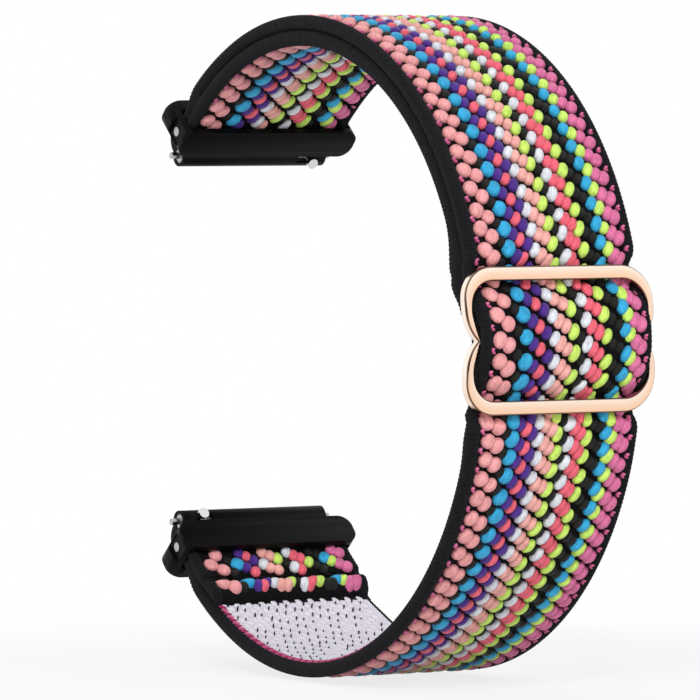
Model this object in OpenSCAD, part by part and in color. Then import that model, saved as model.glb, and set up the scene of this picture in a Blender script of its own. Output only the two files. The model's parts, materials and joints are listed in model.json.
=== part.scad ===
// Elastic braided loop watch strap with two quick-release end connectors and an
// adjusting slider. Millimetres.
// Origin: halfway between the two spring bars, on the seat that the strap is held by.
// +X points from the seat to the slider, Y runs across the strap, +Z is up.

/* [Webbing] */
// Width of the braided webbing
webbing_w = 22; // [16:0.5:26]
// Thickness of one layer of webbing
webbing_t = 1.9; // [1.5:0.05:2.2]
// Outer radius of the loop
loop_outer_r = 38.35; // [34:0.05:46]
// Length of the folded tail on the wrist side of the lower end
tail_length = 9.3; // [8:0.1:20]
// Length over which the webbing is pressed thinner before a connector
taper_length = 3.8; // [3:0.1:6]
// Thickness of both layers together where they turn round a cross bar
turn_t = 2.7; // [2.4:0.05:3]
// How far the turned webbing lies inside the middle of the two layers
turn_inset = 0.4; // [0:0.05:0.6]
// Height of one stitch above the webbing
stitch_h = 0.2; // [0.1:0.05:0.4]
// Length of one stitch across the webbing
stitch_length = 1.1; // [0.6:0.1:1.4]
// Distance from one stitch to the next
stitch_pitch = 1.6; // [1.5:0.1:3]
// Width of the sewing thread
thread_w = 0.3; // [0.2:0.05:0.5]

/* [Spring bars] */
// Distance between the two spring bar axes
bar_spacing = 43.6; // [36:0.1:52]
// Width between the lugs that the spring bars snap into
lug_w = 20; // [14:0.5:24]
// Play between the connector's barrel and the lugs, at each end
lug_play = 0.1; // [0.05:0.01:0.2]
// How far the tube's ends lie inside the barrel
end_clearance = 0.1; // [0:0.05:0.3]
// Outer radius of the spring bar's tube
tube_r = 0.85; // [0.75:0.05:0.9]
// Bore radius of the spring bar's tube
tube_bore_r = 0.65; // [0.6:0.05:0.7]
// Radius of the tips that enter the lugs
tip_r = 0.4; // [0.3:0.05:0.45]
// Length of each tip outside the connector
tip_length = 1.05; // [0.8:0.05:1.3]
// Travel of the quick-release plunger
plunger_travel = 1.2; // [1.1:0.05:1.4]
// Length of the plunger's body inside the tube
plunger_body_l = 6.4; // [5:0.1:7]
// Length of the fixed tip's body inside the tube
fixed_body_l = 2.2; // [1.5:0.1:3]
// Length of the tube's end that is drawn in, as a cone, to hold the plunger
crimp_l = 0.25; // [0.2:0.05:0.4]
// Running clearance of the plunger and its tip in the tube
plunger_gap = 0.05; // [0.03:0.01:0.08]
// Clearance of the tube in the connector's barrel
tube_gap = 0.04; // [0.02:0.01:0.06]
// Clearance of the fixed tip pressed into the tube
fixed_gap = 0.02; // [0.01:0.01:0.03]
// Distance from the tube's end to the centre of the release knob
knob_inset = 2.2; // [1.8:0.1:3]
// Radius of the release knob's head
knob_r = 0.65; // [0.5:0.05:0.75]
// Radius of the release knob's head where it is narrowest, next to the barrel
knob_neck_r = 0.45; // [0.4:0.05:0.5]
// Height of the release knob's head
knob_h = 0.9; // [0.5:0.05:1.2]
// Radius of the release knob's stem
stem_r = 0.3; // [0.25:0.05:0.35]
// Gap between the release knob's head and the barrel
knob_gap = 0.15; // [0.1:0.05:0.3]
// Clearance round the release knob's stem in the tube's slot
slot_gap = 0.1; // [0.05:0.01:0.15]
// How much wider the barrel's slot is than the tube's, all round
barrel_slot_gap = 0.05; // [0.02:0.01:0.1]
// Angle of the release knob below the middle of the barrel
knob_tilt = 28; // [15:1:40]
// Radius of the spring's wire
wire_r = 0.1; // [0.08:0.01:0.12]
// Number of the spring's coils
coils = 9; // [6:1:10]

/* [Connectors] */
// Width of the connector over its end walls
connector_w = 24; // [23.8:0.1:28]
// Thickness of the outer shell
shell_t = 1.6; // [1.2:0.1:2]
// Thickness of the wrist-side plate
plate_t = 0.8; // [0.6:0.05:1.2]
// Gap between the turned webbing and the connector all round
pocket_gap = 0.3; // [0.25:0.05:0.4]
// Gap between the webbing's edges and the end walls
edge_gap = 0.1; // [0.05:0.05:0.3]
// Depth of the recess in each end wall
end_recess = 0.4; // [0.2:0.05:0.5]
// How far the recess in each end wall stays below the outer shell
recess_rim = 0.6; // [0.4:0.05:0.9]
// Clearance of the cross bar in the end walls
cross_bar_gap = 0.02; // [0.01:0.01:0.03]
// Radius of the cross bar that the webbing turns round
cross_bar_r = 0.55; // [0.4:0.05:0.65]
// Running clearance of the webbing's turn on the cross bar
cross_bar_play = 0.05; // [0.03:0.01:0.1]
// Distance from the spring bar to the cross bar
bar_to_bar = 3.7; // [3.6:0.05:5]
// Reach of the connector's lip past the cross bar
lip_reach = 2.1; // [1.8:0.1:3]
// Outer radius of the barrel round the spring bar
barrel_r = 1.3; // [1.25:0.05:1.5]
// How far the spring bar lies inside the middle of the two layers
barrel_inset = 0.45; // [0:0.05:0.8]
// Wall between the webbing's pocket and the connector's heel
heel_wall = 0.2; // [0.1:0.05:0.4]
// How far the middle of the round heel lies outside the cross bar
heel_lift = 0.9; // [0.6:0.05:1.2]
// Corner radius of the connector's outline
connector_corner_r = 1.6; // [0.8:0.1:2]

/* [Slider] */
// Width of the slider across the strap
slider_w = 25.2; // [24.8:0.1:32]
// Height of the slider along the strap
slider_h = 16.6; // [15:0.1:22]
// Thickness of the slider's frame
frame_t = 1.1; // [1:0.05:1.6]
// Width of the top and bottom bars
frame_bar_w = 1.5; // [1.3:0.05:2.2]
// Width of the side rails
rail_w = 0.95; // [0.9:0.05:1.5]
// Width of the rails at the waist
waist_rail_w = 0.5; // [0.4:0.05:0.7]
// Corner radius of the frame
frame_corner_r = 3.9; // [2.5:0.1:4.2]
// Corner radius of each half of the frame next to the waist
waist_corner_r = 2.6; // [1.5:0.1:3.5]
// Corner radius of the two windows next to the waist
window_waist_r = 0.5; // [0.3:0.05:1]
// How far the frame's two halves reach into each other at the waist
waist_overlap = 0.25; // [0.1:0.05:0.4]
// Width of the centre bar along the strap
centre_bar_w = 2.2; // [1.8:0.1:2.8]
// Thickness of the centre bar
centre_bar_t = 1.05; // [0.9:0.05:1.3]
// Thickness of the webbing's end where it wraps the centre bar
wrap_t = 0.6; // [0.5:0.05:0.8]
// Gap between the webbing and the frame
frame_gap = 0.05; // [0.05:0.01:0.1]
// Gap between the two layers of webbing inside the slider
layer_gap = 0.02; // [0.01:0.01:0.05]
// Length along the strap in which the wrapped webbing swells to full thickness
wrap_merge = 2.4; // [1.5:0.1:3]
// How far the webbing dips under the top and bottom bars
bar_dip = 0.7; // [0.4:0.05:0.8]
// How far the webbing rises over the centre bar
hump_h = 1.6; // [1.1:0.05:1.8]
// Thickness of the webbing where it is pressed on the centre bar
pressed_t = 1.3; // [1.1:0.05:1.9]
// Half the length along the strap in which the webbing stays up over the centre bar
hump_flat = 0.55; // [0.3:0.05:0.9]
// Length of threaded webbing that shows past the slider's top and bottom bars
section_margin = 1.4; // [1:0.05:1.6]
// Angle of the slider above the middle of the loop
slider_angle = 2.65; // [-20:0.05:20]
// Travel of the slider along the loop, each way, in degrees
slider_travel = 15; // [5:1:18]
// Webbing left over past the slider's travel, in degrees
travel_margin = 2; // [1:0.5:4]

/* [Hidden] */

arc_fn = 180;
round_fn = 32;
// How far a cutter runs past what it cuts, in millimetres and in degrees
overcut = 1;
overcut_a = 3;
// How far the solids of one webbing turn, and of one connector, reach into each other
weld_a = 0.1;
heel_weld_a = 1;
// Steps in the curves of the webbing
turn_steps = 10;
thread_steps = 60;
wrap_steps = 40;
// Step at a round end, so that its face crosses its neighbour's instead of touching it
round_step = 0.03;
// Points round the spring's wire, and rings in each coil
wire_sides = 6;
rings_per_coil = 8;

// Radii of the two layers, measured from the middle of the loop
layer_r = loop_outer_r - webbing_t;
inner_r = loop_outer_r - 2 * webbing_t;

// The spring bars lie on the Z axis, so the loop's middle follows from their radius
spring_bar_r = layer_r - barrel_inset;
loop_x = sqrt(pow(spring_bar_r, 2) - pow(bar_spacing / 2, 2));
spring_bar_a = 180 - asin(bar_spacing / 2 / spring_bar_r);

// The cross bar is in the middle of the turned webbing
turn_outer_r = layer_r + turn_t / 2 - turn_inset;
cross_bar_pos_r = turn_outer_r - turn_t / 2;
cross_bar_a = spring_bar_a - arc_deg(bar_to_bar, cross_bar_pos_r);
taper_to_a = cross_bar_a - arc_deg(lip_reach - pocket_gap, cross_bar_pos_r);
taper_from_a = taper_to_a - arc_deg(taper_length, cross_bar_pos_r);
tail_from_a = taper_from_a - arc_deg(tail_length, layer_r) + arc_deg(taper_length, layer_r);

// Connector radii and angles
pocket_outer_r = turn_outer_r + pocket_gap;
pocket_inner_r = turn_outer_r - turn_t - pocket_gap;
shell_outer_r = pocket_outer_r + shell_t;
plate_inner_r = pocket_inner_r - plate_t;
lip_a = cross_bar_a - arc_deg(lip_reach, cross_bar_pos_r);
heel_a = cross_bar_a + arc_deg(turn_t / 2 + pocket_gap + heel_wall, cross_bar_pos_r);
heel_r = shell_outer_r - cross_bar_pos_r - heel_lift - round_step;
neck_half_t = barrel_r - round_step;
barrel_half = lug_w / 2 - lug_play;
tube_half = barrel_half - end_clearance;
knob_y = tube_half - knob_inset;
shoulder_y = tube_half - crimp_l - fixed_gap;

// Slider section
section_half_a = arc_deg(slider_h / 2 + section_margin, loop_outer_r);
run_a = slider_travel + travel_margin;
frame_inner_r = loop_outer_r - bar_dip + frame_gap;
frame_outer_r = frame_inner_r + frame_t;
hump_outer_r = loop_outer_r + hump_h;
centre_bar_outer_r = hump_outer_r - pressed_t - wrap_t - 2 * frame_gap;
centre_bar_inner_r = centre_bar_outer_r - centre_bar_t;
window_to = slider_h / 2 - frame_bar_w;
window_w = slider_w - 2 * rail_w;
window_r = frame_corner_r - rail_w;
waist_inner_y = webbing_w / 2 + edge_gap;
waist_outer_y = waist_inner_y + waist_rail_w;

// The webbing stays down from the window's corners to the far edge of the bar
corner_y = max(0, webbing_w / 2 - window_w / 2 + window_r);
corner_z = window_to - window_r + sqrt(max(0, pow(window_r, 2) - pow(corner_y, 2)));
dip_from_s = along_frame(corner_z);
dip_to_s = along_frame(slider_h / 2);

// Length along an arc as degrees
function arc_deg(length, radius) = length / radius * 180 / PI;
// Length along the strap up to a height on the slider's flat outline
function along_frame(height) = asin(height / frame_inner_r) * PI / 180 * loop_outer_r;
// Point of the X-Z plane at a radius and an angle round the loop's middle
function polar(radius, angle) = [radius * cos(angle), radius * sin(angle)];
// Goes from 0 to 1 with no kink at either end
function smooth(t) = t * t * (3 - 2 * t);
function mix(from, to, t) = from + (to - from) * t;
function clamp01(t) = min(1, max(0, t));

// Draws the loop's X-Z plane upright, with its middle where the loop's middle is
module on_loop(turn = 0) {
    translate([loop_x, 0, 0])
        rotate([90, 0, 0])
            rotate([0, 0, turn])
                children();
}

// Part of a ring round the loop's middle
module sector(r_in, r_out, a_from, a_to, width) {
    on_loop(a_from)
        rotate_extrude(angle = a_to - a_from, $fn = arc_fn)
            translate([r_in, -width / 2])
                square([r_out - r_in, width]);
}

// Outline of part of a ring, in the loop's X-Z plane
module ring(r_in, r_out, a_from, a_to) {
    intersection() {
        difference() {
            circle(r = r_out, $fn = arc_fn);
            circle(r = r_in, $fn = arc_fn);
        }
        polygon([[0, 0], polar(2 * r_out, a_from), polar(2 * r_out, a_to)]);
    }
}

// Outline of a disc at a point of the loop's X-Z plane
module disc(radius, angle, disc_r) {
    translate(polar(radius, angle))
        circle(r = disc_r, $fn = round_fn);
}

// Extrudes an outline of the loop's X-Z plane across the strap
module across(width) {
    on_loop()
        linear_extrude(width, center = true)
            children();
}

// Straight rod across the strap at a point of the loop's X-Z plane
module rod(radius, angle, rod_r, width) {
    on_loop()
        translate(polar(radius, angle))
            cylinder(r = rod_r, h = width, center = true, $fn = round_fn);
}

// Row of stitches across the webbing, lying on its wrist side
module stitch_row(surface_r, angle, row_w) {
    count = floor(row_w / stitch_pitch);
    half_a = arc_deg(thread_w, surface_r) / 2;
    for (i = [0 : count - 1])
        translate([0, (i - (count - 1) / 2) * stitch_pitch, 0])
            sector(surface_r - stitch_h, surface_r, angle - half_a, angle + half_a, stitch_length);
}

// Both layers where they are pressed together and turn round the cross bar
module turn() {
    outer = [for (i = [0 : turn_steps]) polar(
        mix(loop_outer_r, turn_outer_r, smooth(i / turn_steps)),
        mix(taper_from_a, taper_to_a, i / turn_steps))];
    inner = [for (i = [turn_steps : -1 : 0]) polar(
        mix(inner_r, turn_outer_r - turn_t, smooth(i / turn_steps)),
        mix(taper_from_a, taper_to_a, i / turn_steps))];
    across(webbing_w)
        difference() {
            union() {
                polygon(concat(outer, inner));
                ring(turn_outer_r - turn_t, turn_outer_r, taper_to_a - weld_a, cross_bar_a);
                disc(cross_bar_pos_r, cross_bar_a, turn_t / 2 - round_step);
            }
            disc(cross_bar_pos_r, cross_bar_a, cross_bar_r + cross_bar_play);
        }
}

// The lower half of the strap is the upper half's construction turned over
module turned_over() {
    rotate([180, 0, 0])
        children();
}

// Single layer from the lower end towards the slider
module lower_webbing() {
    color("hotpink")
        sector(layer_r, loop_outer_r, -taper_from_a,
            slider_angle - section_half_a - run_a, webbing_w);
}

// Stretch of the single layer that gives way when the slider moves
module lower_sliding_run() {
    color("violet")
        sector(layer_r, loop_outer_r, slider_angle - section_half_a - run_a,
            slider_angle - section_half_a, webbing_w);
}

module lower_turn() {
    color("salmon")
        turned_over()
            turn();
}

// Folded end of the webbing, sewn down on the wrist side
module fold_tail() {
    color("salmon")
        turned_over()
            sector(inner_r, layer_r, tail_from_a, taper_from_a, webbing_w);
}

module fold_stitching() {
    color("dimgray")
        turned_over()
            stitch_row(inner_r, (tail_from_a + taper_from_a) / 2, webbing_w - stitch_pitch);
}

// Outer layer above the slider
module upper_webbing() {
    color("hotpink")
        sector(layer_r, loop_outer_r, slider_angle + section_half_a + run_a,
            taper_from_a, webbing_w);
}

module upper_sliding_run() {
    color("violet")
        sector(layer_r, loop_outer_r, slider_angle + section_half_a,
            slider_angle + section_half_a + run_a, webbing_w);
}

module upper_turn() {
    color("salmon")
        turn();
}

// Inner layer, back from the upper end to the slider's centre bar
module inner_webbing() {
    color("deepskyblue")
        sector(inner_r, layer_r, slider_angle + section_half_a + run_a,
            taper_from_a, webbing_w);
}

module inner_sliding_run() {
    color("lightskyblue")
        sector(inner_r, layer_r, slider_angle + section_half_a,
            slider_angle + section_half_a + run_a, webbing_w);
}

// Outer radius of the webbing threaded through the slider, at a distance along the strap
function threaded_r(s) =
    abs(s) > dip_to_s
        ? mix(loop_outer_r - bar_dip, loop_outer_r,
            smooth(clamp01((abs(s) - dip_to_s) / (slider_h / 2 + section_margin - dip_to_s))))
        : mix(hump_outer_r, loop_outer_r - bar_dip,
            smooth(clamp01((abs(s) - hump_flat) / (dip_from_s - hump_flat))));

// Thickness of the threaded webbing, which is pressed on the centre bar
function threaded_t(s) = mix(pressed_t, webbing_t,
    smooth(clamp01((abs(s) - hump_flat) / (dip_from_s - hump_flat))));
// Wrist side of the threaded webbing
function threaded_floor(s) = threaded_r(s) - threaded_t(s);

// Webbing threaded under the bottom bar, over the centre bar and under the top bar
module threaded_webbing() {
    span = arc_deg(1, loop_outer_r);
    reach = section_half_a / span;
    outer = [for (i = [0 : thread_steps]) let (s = mix(-reach, reach, i / thread_steps))
        polar(threaded_r(s), s * span)];
    inner = [for (i = [thread_steps : -1 : 0]) let (s = mix(-reach, reach, i / thread_steps))
        polar(threaded_floor(s), s * span)];
    color("hotpink")
        on_loop(slider_angle)
            linear_extrude(webbing_w, center = true)
                polygon(concat(outer, inner));
}

// End of the inner layer, thinned and wrapped round the centre bar
module bar_wrap() {
    span = arc_deg(1, loop_outer_r);
    reach = section_half_a / span;
    end_s = -centre_bar_w / 2 - frame_gap - wrap_t;
    wrap_inner_r = centre_bar_inner_r - frame_gap - wrap_t;
    outer = [for (i = [0 : wrap_steps]) let (s = mix(end_s, reach, i / wrap_steps))
        polar(threaded_floor(s) - layer_gap - bevel(s - end_s), s * span)];
    inner = [for (i = [wrap_steps : -1 : 0]) let (s = mix(end_s, reach, i / wrap_steps))
        polar(mix(wrap_inner_r + bevel(s - end_s), inner_floor(s),
            smooth(clamp01((s - centre_bar_w / 2) / wrap_merge))), s * span)];
    color("deepskyblue")
        difference() {
            on_loop(slider_angle)
                linear_extrude(webbing_w, center = true)
                    polygon(concat(outer, inner));
            centre_bar(frame_gap, webbing_w + overcut);
        }
}

// Rounds the end of the wrapped webbing
function bevel(from_end) =
    from_end < wrap_t
        ? wrap_t - sqrt(max(0, pow(wrap_t, 2) - pow(wrap_t - from_end, 2)))
        : 0;
// Wrist side of the inner layer inside the slider
function inner_floor(s) = threaded_floor(s) - webbing_t;

module bar_wrap_stitching() {
    seam_s = slider_h / 2;
    seam_a = slider_angle + arc_deg(seam_s, loop_outer_r);
    color("dimgray")
        stitch_row(inner_floor(seam_s), seam_a, webbing_w - stitch_pitch);
}

// Centre bar, grown by a gap all round
module centre_bar(gap, width) {
    half_a = arc_deg(centre_bar_w / 2 + gap, loop_outer_r);
    sector(centre_bar_inner_r - gap, centre_bar_outer_r + gap,
        slider_angle - half_a, slider_angle + half_a, width);
}

// Rectangle with round corners, in the plane of the slider or the connector
module rounded_rect(size_y, from_z, to_z, corner_r) {
    size_z = to_z - from_z;
    translate([0, (from_z + to_z) / 2]) {
        square([size_y - 2 * corner_r, size_z], center = true);
        square([size_y, size_z - 2 * corner_r], center = true);
        for (side = [-1, 1], end = [-1, 1])
            translate([side * (size_y / 2 - corner_r), end * (size_z / 2 - corner_r)])
                circle(r = corner_r, $fn = round_fn);
    }
}

// Extrudes a Y-Z outline along the radius at an angle round the loop
module along_radius(angle, r_from, r_to) {
    translate([loop_x, 0, 0])
        rotate([0, -angle, 0])
            translate([r_from, 0, 0])
                rotate([90, 0, 90])
                    linear_extrude(r_to - r_from)
                        children();
}

// Figure-of-eight frame with a lowered centre bar
module slider_frame() {
    lobe_to = slider_h / 2;
    lobe_from = -waist_overlap;
    lobe_mid = lobe_to - 0.6 * frame_corner_r;
    frame_a = arc_deg(lobe_to, frame_inner_r) + overcut_a;
    color([0.90, 0.68, 0.55]) {
        intersection() {
            sector(frame_inner_r, frame_outer_r, slider_angle - frame_a,
                slider_angle + frame_a, slider_w + overcut);
            along_radius(slider_angle, frame_inner_r - overcut, frame_outer_r + overcut)
                difference() {
                    union() {
                        for (half = [0, 1])
                            mirror([0, half]) {
                                rounded_rect(slider_w, lobe_from, lobe_to, frame_corner_r);
                                rounded_rect(slider_w, lobe_from, lobe_mid, waist_corner_r);
                            }
                        square([2 * waist_outer_y, frame_corner_r], center = true);
                    }
                    for (half = [0, 1])
                        mirror([0, half]) {
                            rounded_rect(window_w, rail_w / 2, window_to, window_r);
                            rounded_rect(window_w, rail_w / 2, lobe_mid, window_waist_r);
                        }
                    square([2 * waist_inner_y, 2 * frame_corner_r], center = true);
                }
        }
        for (side = [-1, 1])
            translate([0, side * (waist_inner_y + waist_rail_w / 2), 0])
                sector(centre_bar_inner_r, frame_outer_r - round_step,
                    slider_angle - arc_deg(centre_bar_w / 2, loop_outer_r),
                    slider_angle + arc_deg(centre_bar_w / 2, loop_outer_r),
                    waist_rail_w - 2 * round_step);
        centre_bar(0, 2 * waist_outer_y);
    }
}

// Direction of the release knob, turned from the +X axis
module knob_way() {
    translate([0, 0, bar_spacing / 2])
        rotate([0, knob_tilt, 0])
            children();
}

// Rod along the spring bar's axis between two distances from the middle of the strap
module bar_rod(rod_r, y_from, y_to) {
    translate([0, y_to, bar_spacing / 2])
        rotate([90, 0, 0])
            cylinder(r = rod_r, h = y_to - y_from, $fn = round_fn);
}

// Solid turned from a profile of radii and places along the spring bar
module turned(profile) {
    translate([0, 0, bar_spacing / 2])
        rotate([-90, 0, 0])
            rotate_extrude($fn = round_fn)
                polygon(profile);
}

// Slot that the release knob's stem slides in, cut outwards from the spring bar's axis
module knob_slot(gap) {
    half_w = stem_r + gap;
    knob_way()
        translate([0, knob_y - plunger_travel - half_w, -half_w])
            cube([shell_outer_r - spring_bar_r + overcut, plunger_travel + 2 * half_w, 2 * half_w]);
}

// Shell, plate, end walls and barrel in one piece
module housing() {
    mid_a = (lip_a + heel_a) / 2;
    half_l = (heel_a - lip_a) / 2 * PI / 180 * cross_bar_pos_r;
    wall_y = connector_w / 2 - end_recess;
    difference() {
        union() {
            intersection() {
                sector(plate_inner_r, shell_outer_r, lip_a - overcut_a, heel_a + overcut_a,
                    connector_w + overcut);
                along_radius(mid_a, plate_inner_r - overcut, shell_outer_r + overcut)
                    rounded_rect(connector_w, -half_l, half_l, connector_corner_r);
            }
            across(2 * barrel_half) {
                intersection() {
                    disc(cross_bar_pos_r + heel_lift, heel_a, heel_r);
                    ring(inner_r, shell_outer_r, heel_a - heel_weld_a,
                        heel_a + arc_deg(2 * heel_r, cross_bar_pos_r));
                }
                ring(spring_bar_r - neck_half_t, spring_bar_r + neck_half_t,
                    heel_a - heel_weld_a, spring_bar_a);
                disc(spring_bar_r, spring_bar_a, barrel_r);
            }
        }
        across(webbing_w + 2 * edge_gap) {
            ring(pocket_inner_r, pocket_outer_r, lip_a - overcut_a, cross_bar_a);
            disc(cross_bar_pos_r, cross_bar_a, turn_t / 2 + pocket_gap - round_step);
        }
        for (side = [-1, 1])
            translate([0, side * (wall_y + overcut / 2), 0])
                sector(pocket_inner_r, pocket_outer_r - recess_rim, lip_a - overcut_a,
                    cross_bar_a + arc_deg(2 * cross_bar_r, cross_bar_pos_r), overcut);
        rod(cross_bar_pos_r, cross_bar_a, cross_bar_r + cross_bar_gap, connector_w + overcut);
        bar_rod(tube_r + tube_gap, -barrel_half - overcut, barrel_half + overcut);
        knob_slot(slot_gap + barrel_slot_gap);
    }
}

module cross_bar() {
    rod(cross_bar_pos_r, cross_bar_a, cross_bar_r, connector_w - 2 * end_recess);
}

// Thin tube with one end drawn in as a cone to hold the plunger, and a slot for the knob
module bar_tube() {
    difference() {
        bar_rod(tube_r, -tube_half, tube_half);
        turned([
            [0, -tube_half - overcut],
            [tube_bore_r, -tube_half - overcut],
            [tube_bore_r, tube_half - crimp_l],
            [tip_r + plunger_gap, tube_half],
            [tip_r + plunger_gap, tube_half + overcut],
            [0, tube_half + overcut]
        ]);
        knob_slot(slot_gap);
    }
}

module fixed_tip() {
    bar_rod(tube_bore_r - fixed_gap, -tube_half, -tube_half + fixed_body_l);
    bar_rod(tip_r, -barrel_half - tip_length, -tube_half + fixed_body_l / 2);
}

// Sliding tip, with a conical shoulder that rests in the tube's drawn-in end
module plunger() {
    body_r = tube_bore_r - plunger_gap;
    difference() {
        turned([
            [0, shoulder_y - plunger_body_l],
            [body_r, shoulder_y - plunger_body_l],
            [body_r, shoulder_y],
            [tip_r, tube_half],
            [tip_r, barrel_half + tip_length],
            [0, barrel_half + tip_length]
        ]);
        knob_way()
            translate([0, knob_y, 0])
                rotate([0, 90, 0])
                    cylinder(r = stem_r, h = tube_r, $fn = round_fn);
    }
}

// Knob pressed into the plunger, standing out of the barrel's slot
module release_knob() {
    head_from = barrel_r + knob_gap;
    knob_way()
        translate([0, knob_y, 0])
            rotate([0, 90, 0]) {
                cylinder(r = stem_r, h = head_from + knob_h / 2, $fn = round_fn);
                translate([0, 0, head_from])
                    cylinder(r1 = knob_neck_r, r2 = knob_r, h = knob_h / 2, $fn = round_fn);
                translate([0, 0, head_from + knob_h / 2])
                    cylinder(r = knob_r, h = knob_h / 2, $fn = round_fn);
            }
}

// Ring of points round the spring's wire, at a share of its length
function wire_ring(t, from_y, length, coil_r) =
    let (turn = 360 * coils * t)
    [for (k = [0 : wire_sides - 1]) let (w = 360 / wire_sides * k, reach = coil_r + wire_r * cos(w))
        [reach * cos(turn), from_y + length * t + wire_r * sin(w), reach * sin(turn)]];

// Coil spring between the fixed tip and the plunger
module bar_spring() {
    rings = rings_per_coil * coils;
    from_y = -tube_half + fixed_body_l + wire_r + fixed_gap;
    to_y = shoulder_y - plunger_body_l - wire_r - fixed_gap;
    coil_r = tube_bore_r - wire_r - plunger_gap;
    n = wire_sides;
    points = [for (i = [0 : rings]) each wire_ring(i / rings, from_y, to_y - from_y, coil_r)];
    sides = [for (i = [0 : rings - 1], k = [0 : n - 1], half = [0, 1])
        let (a = n * i + k, b = n * i + (k + 1) % n)
        half == 0 ? [a, b, b + n] : [a, b + n, a + n]];
    caps = [[for (k = [n - 1 : -1 : 0]) k], [for (k = [0 : n - 1]) n * rings + k]];
    translate([0, 0, bar_spacing / 2])
        polyhedron(points = points, faces = concat(sides, caps), convexity = 10);
}

module upper_housing() {
    color([0.09, 0.09, 0.1])
        housing();
}

module upper_cross_bar() {
    color("silver")
        cross_bar();
}

module upper_bar_tube() {
    color("gainsboro")
        bar_tube();
}

module upper_fixed_tip() {
    color("silver")
        fixed_tip();
}

module upper_bar_spring() {
    color("slategray")
        bar_spring();
}

module upper_plunger() {
    color("silver")
        plunger();
}

module upper_release_knob() {
    color("gainsboro")
        release_knob();
}

module lower_housing() {
    turned_over()
        upper_housing();
}

module lower_cross_bar() {
    turned_over()
        upper_cross_bar();
}

module lower_bar_tube() {
    turned_over()
        upper_bar_tube();
}

module lower_fixed_tip() {
    turned_over()
        upper_fixed_tip();
}

module lower_bar_spring() {
    turned_over()
        upper_bar_spring();
}

module lower_plunger() {
    turned_over()
        upper_plunger();
}

module lower_release_knob() {
    turned_over()
        upper_release_knob();
}

lower_webbing();
lower_sliding_run();
lower_turn();
fold_tail();
fold_stitching();
upper_webbing();
upper_sliding_run();
upper_turn();
inner_webbing();
inner_sliding_run();
slider_frame();
threaded_webbing();
bar_wrap();
bar_wrap_stitching();
upper_housing();
upper_cross_bar();
upper_bar_tube();
upper_fixed_tip();
upper_bar_spring();
upper_plunger();
upper_release_knob();
lower_housing();
lower_cross_bar();
lower_bar_tube();
lower_fixed_tip();
lower_bar_spring();
lower_plunger();
lower_release_knob();
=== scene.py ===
# %% [markdown]
# # A braided loop watch strap
# The strap is one long piece of elastic braid. It leaves the lower connector, goes under, over and
# under the bars of a rose gold slider, climbs to the upper connector, turns round a bar there and
# comes back inside itself to the slider's centre bar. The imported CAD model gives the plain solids
# and the joints. This lesson dresses them: every puff of the braid, the ribbed black edges, the
# knitted back, the polished slider and the satin connectors.

# %% Load the frame
import json
import math

import bpy
import numpy as np
from mathutils import Matrix, Vector


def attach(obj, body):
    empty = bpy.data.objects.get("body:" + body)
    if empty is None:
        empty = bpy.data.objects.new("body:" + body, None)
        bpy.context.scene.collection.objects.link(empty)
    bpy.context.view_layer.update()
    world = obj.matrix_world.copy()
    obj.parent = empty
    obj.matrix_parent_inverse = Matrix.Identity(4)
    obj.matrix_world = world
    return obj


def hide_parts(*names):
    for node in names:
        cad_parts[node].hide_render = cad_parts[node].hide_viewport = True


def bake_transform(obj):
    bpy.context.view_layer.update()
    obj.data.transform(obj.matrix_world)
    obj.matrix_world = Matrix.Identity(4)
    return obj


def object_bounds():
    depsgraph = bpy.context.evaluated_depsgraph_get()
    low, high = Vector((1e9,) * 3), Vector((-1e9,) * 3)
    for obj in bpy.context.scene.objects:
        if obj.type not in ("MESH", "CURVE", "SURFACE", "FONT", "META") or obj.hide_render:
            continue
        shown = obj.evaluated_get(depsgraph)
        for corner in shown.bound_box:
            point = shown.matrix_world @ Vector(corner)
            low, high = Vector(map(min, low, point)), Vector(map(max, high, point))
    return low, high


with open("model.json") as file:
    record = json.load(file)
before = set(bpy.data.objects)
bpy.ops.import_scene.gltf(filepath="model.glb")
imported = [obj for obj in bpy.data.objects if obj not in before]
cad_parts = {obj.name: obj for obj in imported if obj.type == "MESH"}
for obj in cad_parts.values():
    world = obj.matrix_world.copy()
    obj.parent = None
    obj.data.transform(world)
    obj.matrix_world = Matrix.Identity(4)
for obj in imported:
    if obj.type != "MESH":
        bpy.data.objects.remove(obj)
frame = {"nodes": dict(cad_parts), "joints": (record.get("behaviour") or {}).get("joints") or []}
cad_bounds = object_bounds()
scene = bpy.context.scene
nodes = frame["nodes"]
joints = {joint["name"]: joint for joint in frame["joints"]}
MM = 0.001
LOOP_X = joints["slider_travel"]["pos_m"][0] / MM
LOOP_MIDDLE = Vector((LOOP_X, 0, 0)) * MM
print("frame:", len(nodes), "nodes,", len(joints), "joints; loop's middle at x", round(LOOP_X, 3), "mm")

# %% [markdown]
# ## Camera
# The picture was taken from far away with a long lens, a little above the middle of the loop, from
# between the slider and one edge of the strap. The lens, the distance and a small roll come from
# fitting the two rims of the webbing, so the camera is made from its own three axes and not aimed
# with a helper.

# %% Camera
CAMERA_FAR = 800.0
CAMERA_SIDE = math.radians(57.87)
CAMERA_RISE = math.radians(2.5)
CAMERA_ROLL = math.radians(-1.3)
FOCAL_PIXELS = 6880.0
FRAME_PIXELS = 700.0
SHIFT_PIXELS = -27.2, -5.3

side, rise = CAMERA_SIDE, CAMERA_RISE
to_camera = Vector((math.sin(side) * math.cos(rise), -math.cos(side), math.sin(side) * math.sin(rise)))
level = Vector((math.cos(side) * math.cos(rise), math.sin(side), math.cos(side) * math.sin(rise)))
upright = Vector((-math.sin(rise), 0, math.cos(rise)))
right = math.cos(CAMERA_ROLL) * level + math.sin(CAMERA_ROLL) * upright
up = math.cos(CAMERA_ROLL) * upright - math.sin(CAMERA_ROLL) * level

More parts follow.
